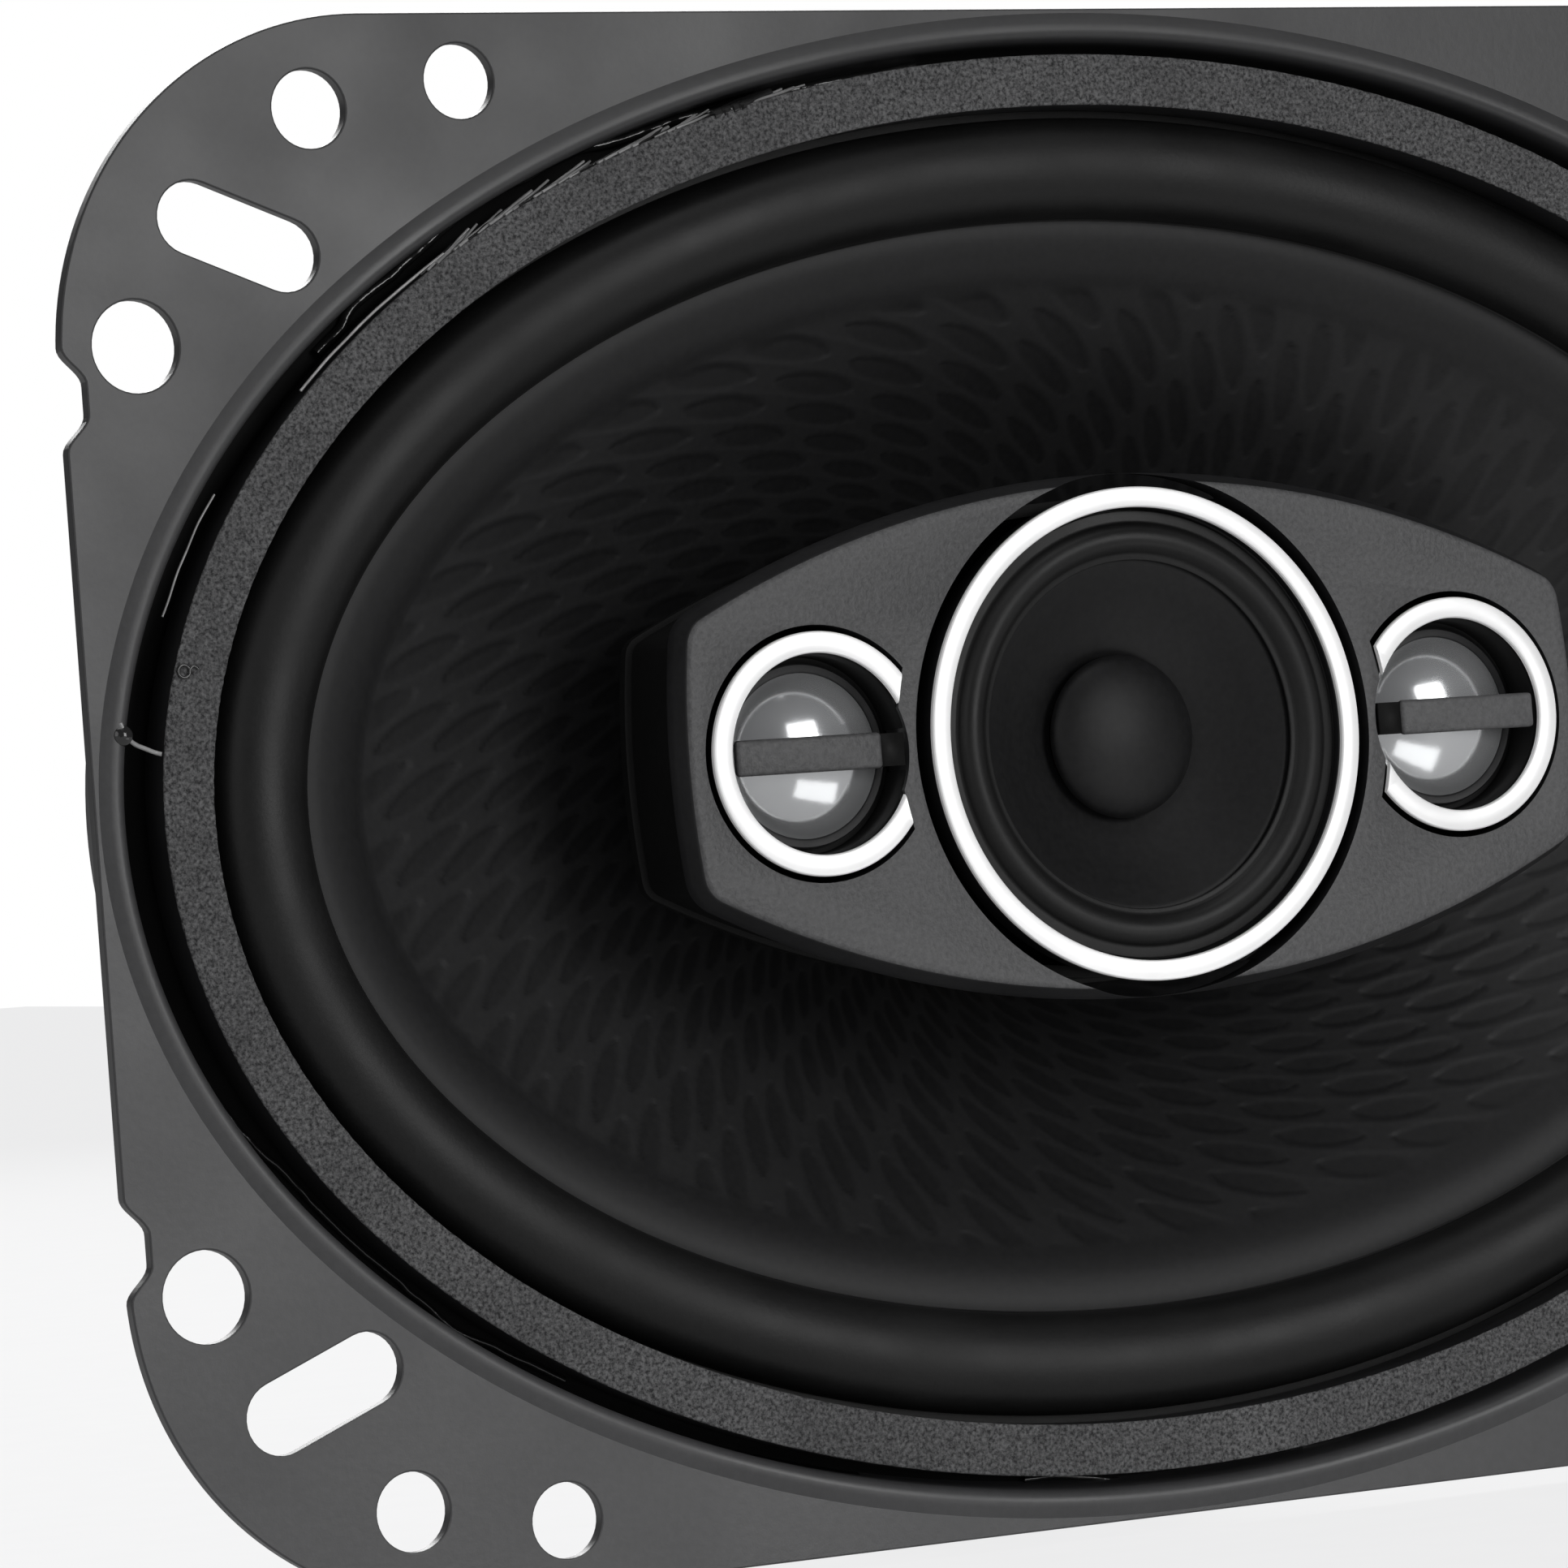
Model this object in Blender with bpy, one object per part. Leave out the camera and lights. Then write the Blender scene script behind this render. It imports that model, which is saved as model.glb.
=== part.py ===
"""Oval-opening coaxial car speaker: woofer, centre midrange and two small dome tweeters.

Metres, +Z up. The speaker stands as it does in a door: its long side lies along X,
its front faces -Y, and its magnet points to +Y. The origin is the centre of the
flange's back face, where the flange meets the door panel.
"""
import math

import bmesh
import bpy
from mathutils import Vector

MM = 0.001

# ---- driving dimensions, in millimetres -------------------------------------------
GAP = 0.3                       # clearance between touching pieces

FLANGE_HALF = (76.0, 51.7)      # half length, half height of the steel flange
FLANGE_CORNER_R = 22.4
SHEET_T = 1.0                   # basket sheet thickness
OPENING = (74.3, 50.0)          # oval recess in the flange, semi-axes
STEP_FOOT = (73.6, 49.3)        # foot of the recess wall, on the ledge
LEDGE_Y = 3.6                   # front of the ledge that carries gasket and surround
LEDGE_INNER = (66.5, 43.8)
LANDING_Y = 24.0                # front of the spider landing
LANDING_R = (34.5, 27.0)
FLOOR_Y = 30.0                  # front of the basket floor, on the top plate
FLOOR_R = (26.2, 14.5)
WINDOWS = 14                    # windows round the basket wall
WINDOW_SEGS = 4                 # segments of the loft across one window
RIB_SEGS = 2                    # segments of the loft across one rib
WINDOW_SPAN = (0.22, 0.80)      # window from, to, as parts of the wall's depth
LOFT_SEGS = WINDOWS * (WINDOW_SEGS + RIB_SEGS)

OVAL_SEGS = 48                  # segments round the oval soft parts
LARGE_SEGS = 32                 # round pieces over 25 mm across
SMALL_SEGS = 20                 # round pieces under 25 mm across

HOLE_A = (70.8, 30.4, 3.0)      # x, z, radius of the round holes in one corner
HOLE_C = (57.5, 45.5, 2.6)
HOLE_D = (46.6, 47.2, 2.5)
SLOT = (63.1, 37.3, 5.8, 2.4)   # x, z, half length, half width
SLOT_TILT = math.radians(22.0)
NOTCH = (27.1, 2.6, 1.6)        # z, half width, depth of the notches in the short edges

GASKET_OUTER = (71.1, 48.6)
GASKET_INNER = (67.6, 45.0)
GASKET_FRONT_Y = -0.8
GASKET_BACK_Y = 2.5

SURROUND_FLANGE = (70.6, 48.0)
ROLL_MID = (63.45, 41.05)       # semi-axes of the roll's crest line
ROLL_HALF = 3.5
ROLL_HEIGHT = 3.2
SURROUND_Y = 2.8
SURROUND_T = 0.5
LIP_INNER = (57.6, 35.4)

CONE_EDGE = (60.0, 37.7)
CONE_SHELF = (57.3, 35.1)
CONE_SHOULDER = (55.1, 33.2)
CONE_EDGE_Y = 3.3
CONE_SHOULDER_Y = 4.8
CONE_NECK_Y = 20.0
CONE_NECK_R = 13.0
CONE_T = 0.6

FORMER_R = (12.3, 12.7)
FORMER_Y = (18.9, 38.0)
WINDING_R = (13.0, 13.5)
WINDING_Y = (30.3, 37.3)
SPIDER_Y = 23.2
SPIDER_WAVE = 0.8

TOP_PLATE_Y = (31.3, 36.3)
TOP_PLATE_R = (14.1, 29.0)
MAGNET_Y = (36.6, 46.6)
MAGNET_R = (16.5, 35.0)
YOKE_Y = (46.9, 51.4)
YOKE_R = 29.0
POLE_R = 11.9
YOKE_BORE_R = 2.4
COUNTERBORE = (4.4, 48.9)       # radius, y of its seat
STAKE_CIRCLE_R = 22.0           # circle of the four rivets in the basket floor
STAKE_HOLE_R = 1.8
BOARD_RIVETS = ((-9.0, -31.0), (9.0, -31.0))
BOARD_HOLE_R = 1.2

POD_RISE = 1.6                  # the pod's centre above the speaker's centre
POD_HALF = (35.0, 17.3)
POD_ARC_R = 74.3                # long edges
POD_END_R = 60.0                # short edges
POD_CORNER_R = 2.2
POD_FACE_Y = -4.0
POD_FACE_T = 2.6
POD_BACK_Y = 6.0
POD_FLARE = 1.9                 # side walls lean out by this much at the back
POD_WALL = 1.4
POD_EDGE = 0.4                  # chamfer round the face

MID_BORE_R = 17.9
MID_RING_R = (15.4, 16.95)
MID_RING_Y = (-4.5, -4.1)
TWEETER_X = 25.2
TWEETER_BORE_R = 8.6
TWEETER_CLIP_R = 18.45          # wall left between tweeter pocket and centre bore
TWEETER_RING_R = (6.65, 8.25)
DOME_R = 5.55
DOME_BASE_Y = -1.4
DOME_RISE = 1.7


# ---- helpers ----------------------------------------------------------------------
def finish_material(name, colour, roughness, metallic):
    """One Principled material for one sub-part."""
    material = bpy.data.materials.new(name + "_finish")
    material.use_nodes = True
    shader = material.node_tree.nodes["Principled BSDF"]
    shader.inputs["Base Color"].default_value = (*colour, 1.0)
    shader.inputs["Roughness"].default_value = roughness
    shader.inputs["Metallic"].default_value = metallic
    material.diffuse_color = (*colour, 1.0)
    return material


SATIN_STEEL = ((0.09, 0.09, 0.095), 0.42, 0.0)
BLACK_PLASTIC = ((0.03, 0.03, 0.032), 0.5, 0.0)
GREY_PLASTIC = ((0.075, 0.075, 0.08), 0.6, 0.0)
FOAM = ((0.10, 0.10, 0.10), 0.95, 0.0)
RUBBER = ((0.012, 0.012, 0.012), 0.4, 0.0)
CONE_FINISH = ((0.022, 0.022, 0.024), 0.45, 0.0)
CHROME = ((0.85, 0.85, 0.86), 0.08, 1.0)
ZINC = ((0.55, 0.56, 0.57), 0.35, 1.0)
FERRITE = ((0.05, 0.05, 0.052), 0.7, 0.0)
COPPER = ((0.72, 0.36, 0.16), 0.35, 1.0)
PAPER = ((0.45, 0.30, 0.14), 0.8, 0.0)
SPIDER_CLOTH = ((0.42, 0.24, 0.07), 0.9, 0.0)
BRASS = ((0.75, 0.58, 0.28), 0.3, 1.0)
PHENOLIC = ((0.20, 0.09, 0.03), 0.6, 0.0)
DOME_FILM = ((0.75, 0.75, 0.77), 0.1, 1.0)
SLEEVE = ((0.02, 0.05, 0.12), 0.35, 0.0)


def add_object(name, bm, finish, parent=None):
    """Turn a bmesh into a named object with its own material."""
    bmesh.ops.remove_doubles(bm, verts=bm.verts, dist=1e-7)
    bmesh.ops.recalc_face_normals(bm, faces=bm.faces)
    mesh = bpy.data.meshes.new(name)
    bm.to_mesh(mesh)
    bm.free()
    mesh.shade_smooth()
    mesh.set_sharp_from_angle(angle=math.radians(35.0))
    if finish:
        mesh.materials.append(finish_material(name, *finish))
    obj = bpy.data.objects.new(name, mesh)
    bpy.context.scene.collection.objects.link(obj)
    if parent:
        obj.parent = parent
    return obj


def add_axis(name, x=0.0, z=0.0):
    """An empty on the sliding axis of a moving body."""
    empty = bpy.data.objects.new(name, None)
    empty.empty_display_type = "SINGLE_ARROW"
    empty.empty_display_size = 0.02
    empty.location = (x * MM, 0.0, z * MM)
    bpy.context.scene.collection.objects.link(empty)
    return empty


def oval(semi_axes, y, segments):
    """Points round an upright oval at depth y."""
    a, b = semi_axes
    step = 2.0 * math.pi / segments
    return [Vector((a * math.cos(i * step), y, b * math.sin(i * step))) * MM
            for i in range(segments)]


def skin(bm, rings, skip=None):
    """Faces round a closed stack of rings; skip(ring, segment) leaves a face out."""
    count = len(rings[0])
    for k, ring in enumerate(rings):
        upper = rings[(k + 1) % len(rings)]
        for i in range(count):
            j = (i + 1) % count
            if skip is None or not skip(k, i):
                bm.faces.new((ring[i], ring[j], upper[j], upper[i]))


def ring_solid(name, rings, finish, parent=None):
    """A closed ring-shaped body whose cross-section runs through all the rings."""
    bm = bmesh.new()
    skin(bm, [[bm.verts.new(p) for p in ring] for ring in rings])
    return add_object(name, bm, finish, parent)


def turned(name, profile, finish, segments=SMALL_SEGS, x=0.0, z=0.0, parent=None):
    """A body turned about an axis along Y. The profile lists (radius, y) corners in mm;
    one that starts and ends on the axis closes there, any other closes on itself."""
    bm = bmesh.new()
    verts = [bm.verts.new((r * MM, y * MM, 0.0)) for r, y in profile]
    edges = [bm.edges.new(pair) for pair in zip(verts, verts[1:])]
    if profile[0][0] > 0.0:
        edges.append(bm.edges.new((verts[-1], verts[0])))
    bmesh.ops.spin(bm, geom=verts + edges, cent=(0, 0, 0), axis=(0, 1, 0),
                   angle=2.0 * math.pi, steps=segments, use_merge=True)
    bmesh.ops.remove_doubles(bm, verts=bm.verts, dist=1e-6)
    obj = add_object(name, bm, finish, parent)
    place = Vector((x * MM, 0.0, z * MM))
    obj.location = place - parent.location if parent else place
    return obj


def tube_profile(radii, ys):
    """A plain ring: inner and outer radius, front and back y."""
    return [(radii[0], ys[0]), (radii[1], ys[0]), (radii[1], ys[1]), (radii[0], ys[1])]


def disc_profile(radius, ys):
    """A plain disc, closed on the axis."""
    return [(0.0, ys[0]), (radius, ys[0]), (radius, ys[1]), (0.0, ys[1])]


def box(name, low, high, finish, bevel=0.0):
    """A block between two corners in mm, with rounded edges."""
    bm = bmesh.new()
    bmesh.ops.create_cube(bm, size=1.0)
    for v in bm.verts:
        v.co = Vector([(lo + (c + 0.5) * (hi - lo)) * MM for c, lo, hi in zip(v.co, low, high)])
    if bevel:
        bmesh.ops.bevel(bm, geom=bm.edges[:], offset=bevel * MM, segments=2, affect="EDGES")
    return add_object(name, bm, finish)


def prism(bm, outline, front_y, back_y):
    """Add a straight prism along Y; the outline is a list of (x, z) in mm."""
    front = [bm.verts.new((x * MM, front_y * MM, z * MM)) for x, z in outline]
    face = bm.faces.new(front)
    moved = bmesh.ops.extrude_face_region(bm, geom=[face])["geom"]
    shift = Vector((0.0, (back_y - front_y) * MM, 0.0))
    bmesh.ops.translate(bm, vec=shift, verts=[g for g in moved if isinstance(g, bmesh.types.BMVert)])


def arc(centre, radius, start, end, segments):
    """Points (x, z) along an arc, angles in radians."""
    step = (end - start) / segments
    return [(centre[0] + radius * math.cos(start + i * step),
             centre[1] + radius * math.sin(start + i * step)) for i in range(segments + 1)]


def as_cutter(obj):
    """Keep a cutting body out of the finished part."""
    obj.hide_render = True
    obj.display_type = "WIRE"
    return obj


def cut(target, cutter):
    """Take the cutter's shape out of the target."""
    modifier = target.modifiers.new("cut_" + cutter.name, "BOOLEAN")
    modifier.operation = "DIFFERENCE"
    modifier.solver = "EXACT"
    modifier.object = cutter
    return target


# ---- basket -----------------------------------------------------------------------
def flange_ring(y, inset=0.0):
    """The flange's rounded rectangle, sampled by direction from the centre."""
    half_x, half_z = FLANGE_HALF[0] - inset, FLANGE_HALF[1] - inset
    corner = FLANGE_CORNER_R - inset
    cx, cz = half_x - corner, half_z - corner
    points = []
    for p in oval(OPENING, 0.0, LOFT_SEGS):
        dx, dz = abs(p.x), abs(p.z)
        reach = min(half_x / dx if dx > 1e-9 else 1e9, half_z / dz if dz > 1e-9 else 1e9)
        x, z = dx * reach, dz * reach
        if x > cx and z > cz:
            dot = dx * cx + dz * cz
            square = dx * dx + dz * dz
            reach = (dot + math.sqrt(dot * dot - square * (cx * cx + cz * cz - corner ** 2))) / square
            x, z = dx * reach, dz * reach
        points.append(Vector((math.copysign(x, p.x), y, math.copysign(z, p.z))) * MM)
    return points


def wall_ring(share, offset):
    """A ring on the basket's sloping wall: share 0 at the ledge, 1 at the landing."""
    semi = [lo + (LANDING_R[0] - lo) * share + offset for lo in LEDGE_INNER]
    y = LEDGE_Y + (LANDING_Y - LEDGE_Y) * share + offset * 0.35
    return oval(semi, y, LOFT_SEGS)


def basket_frame():
    """Pressed steel basket: flange, recess, ledge, windowed wall, landing and floor."""
    t = SHEET_T
    n = LOFT_SEGS
    shares = (0.0, WINDOW_SPAN[0], WINDOW_SPAN[1], 1.0)
    rings = [flange_ring(-t), oval(OPENING, -t, n), oval(STEP_FOOT, LEDGE_Y, n)]
    first_inner = len(rings)
    rings += [wall_ring(share, 0.0) for share in shares]
    rings += [oval((LANDING_R[1],) * 2, LANDING_Y, n), oval((FLOOR_R[0],) * 2, FLOOR_Y, n),
              oval((FLOOR_R[1],) * 2, FLOOR_Y, n), oval((FLOOR_R[1],) * 2, FLOOR_Y + t, n),
              oval((FLOOR_R[0] + t,) * 2, FLOOR_Y + t, n), oval((LANDING_R[1] + t,) * 2, LANDING_Y + t, n)]
    first_outer = len(rings)
    rings += [wall_ring(share, t) for share in reversed(shares)]
    rings += [oval([s + t for s in STEP_FOOT], LEDGE_Y + t, n),
              oval([s + t for s in OPENING], 0.0, n), flange_ring(0.0)]
    in_window = (first_inner + 1, first_outer + 1)

    def open_here(ring, segment):
        place = (segment - RIB_SEGS // 2) % (WINDOW_SEGS + RIB_SEGS)
        return ring in in_window and place < WINDOW_SEGS

    bm = bmesh.new()
    made = [[bm.verts.new(p) for p in ring] for ring in rings]
    skin(bm, made, open_here)
    inner_low, inner_high = made[in_window[0]], made[in_window[0] + 1]
    outer_high, outer_low = made[in_window[1]], made[in_window[1] + 1]
    for i in range(n):
        j = (i + 1) % n
        if open_here(in_window[0], i):
            bm.faces.new((inner_low[i], inner_low[j], outer_low[j], outer_low[i]))
            bm.faces.new((inner_high[i], outer_high[i], outer_high[j], inner_high[j]))
            if not open_here(in_window[0], i - 1):
                bm.faces.new((inner_low[i], outer_low[i], outer_high[i], inner_high[i]))
            if not open_here(in_window[0], j):
                bm.faces.new((inner_low[j], inner_high[j], outer_high[j], outer_low[j]))
    return cut(add_object("basket_frame", bm, SATIN_STEEL), basket_cutter())


def basket_cutter():
    """Screw holes, slots and edge notches of all four corners, and the rivet holes."""
    bm = bmesh.new()
    x, z, half, radius = SLOT
    reach = half - radius
    dx, dz = reach * math.cos(SLOT_TILT), reach * math.sin(SLOT_TILT)
    right = math.pi / 2.0
    slot = (arc((x + dx, z + dz), radius, SLOT_TILT - right, SLOT_TILT + right, 5)
            + arc((x - dx, z - dz), radius, SLOT_TILT + right, SLOT_TILT + 3 * right, 5))
    notch_z, notch_half, notch_depth = NOTCH
    edge = FLANGE_HALF[0]
    notch = [(edge + 2.0, notch_z - notch_half - 1.0), (edge + 2.0, notch_z + notch_half + 1.0),
             (edge - 0.2, notch_z + notch_half), (edge - notch_depth, notch_z + notch_half * 0.45),
             (edge - notch_depth, notch_z - notch_half * 0.45), (edge - 0.2, notch_z - notch_half)]
    outlines = [slot, notch]
    for hole_x, hole_z, hole_r in (HOLE_A, HOLE_C, HOLE_D):
        outlines.append(arc((hole_x, hole_z), hole_r, 0.0, 2.0 * math.pi, 12)[:-1])
    for sx in (-1, 1):
        for sz in (-1, 1):
            for outline in outlines:
                prism(bm, [(px * sx, pz * sz) for px, pz in outline], -SHEET_T - 2.0, 2.0)
    drill(bm, stake_places(), STAKE_HOLE_R, FLOOR_Y - 1.0, FLOOR_Y + SHEET_T + 0.2)
    drill(bm, BOARD_RIVETS, BOARD_HOLE_R, LANDING_Y - 1.0, LANDING_Y + SHEET_T + 0.2)
    return as_cutter(add_object("basket_cutter", bm, None))


def drill(bm, places, radius, front_y, back_y):
    """Add a round drill along Y at each place."""
    for centre in places:
        prism(bm, arc(centre, radius, 0.0, 2.0 * math.pi, 12)[:-1], front_y, back_y)


def stake_places():
    """Centres of the four rivets that hold the basket to the top plate."""
    return [(STAKE_CIRCLE_R * math.cos(a), STAKE_CIRCLE_R * math.sin(a))
            for a in (math.pi / 4 + k * math.pi / 2 for k in range(4))]


# ---- woofer -----------------------------------------------------------------------
def gasket():
    """Foam ring that seals the front of the speaker against the panel."""
    rings = [oval(GASKET_OUTER, GASKET_FRONT_Y + 0.3, OVAL_SEGS),
             oval([s - 0.4 for s in GASKET_OUTER], GASKET_FRONT_Y, OVAL_SEGS),
             oval([s + 0.4 for s in GASKET_INNER], GASKET_FRONT_Y, OVAL_SEGS),
             oval(GASKET_INNER, GASKET_FRONT_Y + 0.3, OVAL_SEGS),
             oval(GASKET_INNER, GASKET_BACK_Y, OVAL_SEGS),
             oval(GASKET_OUTER, GASKET_BACK_Y, OVAL_SEGS)]
    return ring_solid("gasket_ring", rings, FOAM)


def surround():
    """Rubber half-roll between ledge and cone."""
    n = OVAL_SEGS
    steps = 5
    lip_y = CONE_EDGE_Y - GAP - SURROUND_T
    front, back = [], []
    for k in range(steps + 1):
        angle = math.pi * k / steps
        base = SURROUND_Y + (lip_y - SURROUND_Y) * k / steps
        for side, shrink in ((front, 0.0), (back, SURROUND_T)):
            reach = (ROLL_HALF - shrink) * math.cos(angle)
            drop = shrink if k in (0, steps) else 0.0
            y = base + drop - (ROLL_HEIGHT - shrink) * math.sin(angle)
            side.append(oval([s + reach for s in ROLL_MID], y, n))
    rings = [oval(SURROUND_FLANGE, SURROUND_Y, n)] + front + [oval(LIP_INNER, lip_y, n)]
    rings += [oval(LIP_INNER, lip_y + SURROUND_T, n)] + back[::-1]
    rings += [oval(SURROUND_FLANGE, SURROUND_Y + SURROUND_T, n)]
    return ring_solid("surround", rings, RUBBER)


def cone(axis):
    """Injection-moulded cone with a flat outer shelf."""
    n = OVAL_SEGS
    stations = [(CONE_EDGE, CONE_EDGE_Y), (CONE_SHELF, CONE_EDGE_Y), (CONE_SHOULDER, CONE_SHOULDER_Y)]
    for share in (0.5, 1.0):
        semi = [s + (CONE_NECK_R - s) * share for s in CONE_SHOULDER]
        stations.append((semi, CONE_SHOULDER_Y + (CONE_NECK_Y - CONE_SHOULDER_Y) * share))
    rings = [oval(semi, y, n) for semi, y in stations]
    rings += [oval(semi, y + CONE_T, n) for semi, y in reversed(stations)]
    return ring_solid("cone", rings, CONE_FINISH, axis)


def spider():
    """Corrugated cloth disc that centres the voice coil."""
    front = [(32.4, 0.0), (27.4, 0.0)]
    waves = 2
    start, end = 26.4, 14.4
    for k in range(4 * waves + 1):
        if k % 4 != 0:
            share = k / (4 * waves)
            lift = math.sin(2.0 * math.pi * k / 4.0) if k % 2 else 0.0
            front.append((start + (end - start) * share, -SPIDER_WAVE * lift))
    front.append((FORMER_R[1] + GAP, 0.0))
    profile = [(r, SPIDER_Y + y) for r, y in front]
    profile += [(r, SPIDER_Y + 0.5 + y) for r, y in reversed(front)]
    return turned("spider", profile, SPIDER_CLOTH, LARGE_SEGS)


def motor():
    """Top plate, ferrite ring, yoke with its pole, and the rivets."""
    holes = bmesh.new()
    drill(holes, stake_places(), STAKE_HOLE_R, TOP_PLATE_Y[0] - 1.0, TOP_PLATE_Y[1] + 1.0)
    cut(turned("top_plate", tube_profile(TOP_PLATE_R, TOP_PLATE_Y), ZINC, LARGE_SEGS),
        as_cutter(add_object("top_plate_cutter", holes, None)))
    turned("magnet_ring", [(MAGNET_R[0], MAGNET_Y[0]), (MAGNET_R[1] - 0.8, MAGNET_Y[0]),
                           (MAGNET_R[1], MAGNET_Y[0] + 0.8), (MAGNET_R[1], MAGNET_Y[1] - 0.8),
                           (MAGNET_R[1] - 0.8, MAGNET_Y[1]), (MAGNET_R[0], MAGNET_Y[1])], FERRITE, LARGE_SEGS)
    turned("yoke_and_pole", [(YOKE_BORE_R, TOP_PLATE_Y[0]), (POLE_R, TOP_PLATE_Y[0]),
                             (POLE_R, YOKE_Y[0]), (YOKE_R, YOKE_Y[0]),
                             (YOKE_R, YOKE_Y[1] - 1.0), (YOKE_R - 1.0, YOKE_Y[1]),
                             (COUNTERBORE[0], YOKE_Y[1]), (COUNTERBORE[0], COUNTERBORE[1]),
                             (YOKE_BORE_R, COUNTERBORE[1])], ZINC, LARGE_SEGS)
    head_back = FLOOR_Y - GAP
    for k, (x, z) in enumerate(stake_places()):
        turned("basket_rivet_%d" % (k + 1),
               [(0.0, head_back - 1.0), (1.6, head_back - 1.0), (2.6, head_back - 0.4),
                (2.6, head_back), (1.5, head_back), (1.5, TOP_PLATE_Y[1] - 0.5),
                (0.0, TOP_PLATE_Y[1] - 0.5)], ZINC, 12, x, z)


def voice_coil(axis):
    """Former and copper winding, moving with the cone."""
    turned("voice_coil_former", tube_profile(FORMER_R, FORMER_Y), PAPER, LARGE_SEGS, parent=axis)
    turned("voice_coil_winding", tube_profile(WINDING_R, WINDING_Y), COPPER, LARGE_SEGS, parent=axis)


# ---- pod over the cone ------------------------------------------------------------
def circles_meet(c1, r1, c2, r2):
    """The meeting point of two circles with the largest x and z."""
    d = math.dist(c1, c2)
    along = (r1 * r1 - r2 * r2 + d * d) / (2.0 * d)
    high = math.sqrt(r1 * r1 - along * along)
    ux, uz = (c2[0] - c1[0]) / d, (c2[1] - c1[1]) / d
    pair = [(c1[0] + along * ux - s * high * uz, c1[1] + along * uz + s * high * ux) for s in (1, -1)]
    return max(pair, key=lambda p: p[0] + p[1])


def pod_ring(y, grow=0.0):
    """The pod's lozenge with curved sides, grown by an even distance all round."""
    long_r, end_r, corner = POD_ARC_R + grow, POD_END_R + grow, POD_CORNER_R + grow
    long_c = (0.0, POD_HALF[1] - POD_ARC_R)
    end_c = (POD_HALF[0] - POD_END_R, 0.0)
    fillet = circles_meet(long_c, long_r - corner, end_c, end_r - corner)
    end_angle = math.atan2(fillet[1] - end_c[1], fillet[0] - end_c[0])
    long_angle = math.atan2(fillet[1] - long_c[1], fillet[0] - long_c[0])
    quarter = arc(end_c, end_r, 0.0, end_angle, 3)
    quarter += arc(fillet, corner, end_angle, long_angle, 4)[1:]
    quarter += arc(long_c, long_r, long_angle, math.pi / 2.0, 8)[1:]
    half = quarter + [(-x, z) for x, z in reversed(quarter[:-1])]
    outline = half + [(x, -z) for x, z in reversed(half[1:-1])]
    return [Vector((x, y, z + POD_RISE)) * MM for x, z in outline]


def pod_housing():
    """Moulded shell that carries the midrange and both tweeters, open at the back."""
    inner_top = POD_FACE_Y + POD_FACE_T
    flare_at = POD_FLARE * POD_FACE_T / (POD_BACK_Y - POD_FACE_Y)
    rings = [pod_ring(POD_FACE_Y, -POD_EDGE), pod_ring(POD_FACE_Y + POD_EDGE),
             pod_ring(POD_BACK_Y, POD_FLARE), pod_ring(POD_BACK_Y, POD_FLARE - POD_WALL),
             pod_ring(inner_top, flare_at - POD_WALL)]
    bm = bmesh.new()
    made = [[bm.verts.new(p) for p in ring] for ring in rings]
    skin(bm, made, lambda ring, segment: ring == len(made) - 1)
    bm.faces.new(made[0])
    bm.faces.new(made[-1])
    housing = add_object("pod_housing", bm, GREY_PLASTIC)
    bore = turned("mid_bore_cutter", disc_profile(MID_BORE_R, (POD_FACE_Y - 2.0, inner_top + 0.2)),
                  None, LARGE_SEGS, z=POD_RISE)
    cut(housing, as_cutter(bore))
    keep = turned("pocket_wall_cutter", disc_profile(TWEETER_CLIP_R, (POD_FACE_Y - 3.0, inner_top + 1.0)),
                  None, LARGE_SEGS, z=POD_RISE)
    as_cutter(keep)
    for side, x in (("left", -TWEETER_X), ("right", TWEETER_X)):
        pocket = turned("pocket_cutter_" + side,
                        disc_profile(TWEETER_BORE_R, (POD_FACE_Y - 2.0, inner_top + 0.2)),
                        None, LARGE_SEGS, x, POD_RISE)
        cut(housing, cut(as_cutter(pocket), keep))
    return housing


def pod_support():
    """Back cover of the pod, hollow post and the long screw that clamps them."""
    front, back = POD_BACK_Y + GAP, POD_BACK_Y + GAP + 1.0
    rings = [pod_ring(front, 0.2), pod_ring(back, 0.0)]
    bm = bmesh.new()
    low, high = [[bm.verts.new(p) for p in ring] for ring in rings]
    for i in range(len(low)):
        j = (i + 1) % len(low)
        bm.faces.new((low[i], low[j], high[j], high[i]))
    bm.faces.new(low)
    bm.faces.new(high)
    add_object("pod_back_cover", bm, BLACK_PLASTIC)
    top = back + GAP
    post_end = TOP_PLATE_Y[0] - GAP
    turned("pod_post", [(2.2, top), (8.0, top), (8.0, top + 1.2), (5.5, top + 2.6),
                        (5.5, post_end), (2.2, post_end)], BLACK_PLASTIC)
    seat = COUNTERBORE[1] + GAP
    turned("post_screw", [(0.0, 22.0), (1.9, 22.0), (1.9, seat), (4.0, seat),
                          (4.0, seat + 1.4), (3.2, seat + 2.0), (1.2, seat + 2.0),
                          (1.2, seat + 1.0), (0.0, seat + 1.0)], ZINC)


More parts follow.
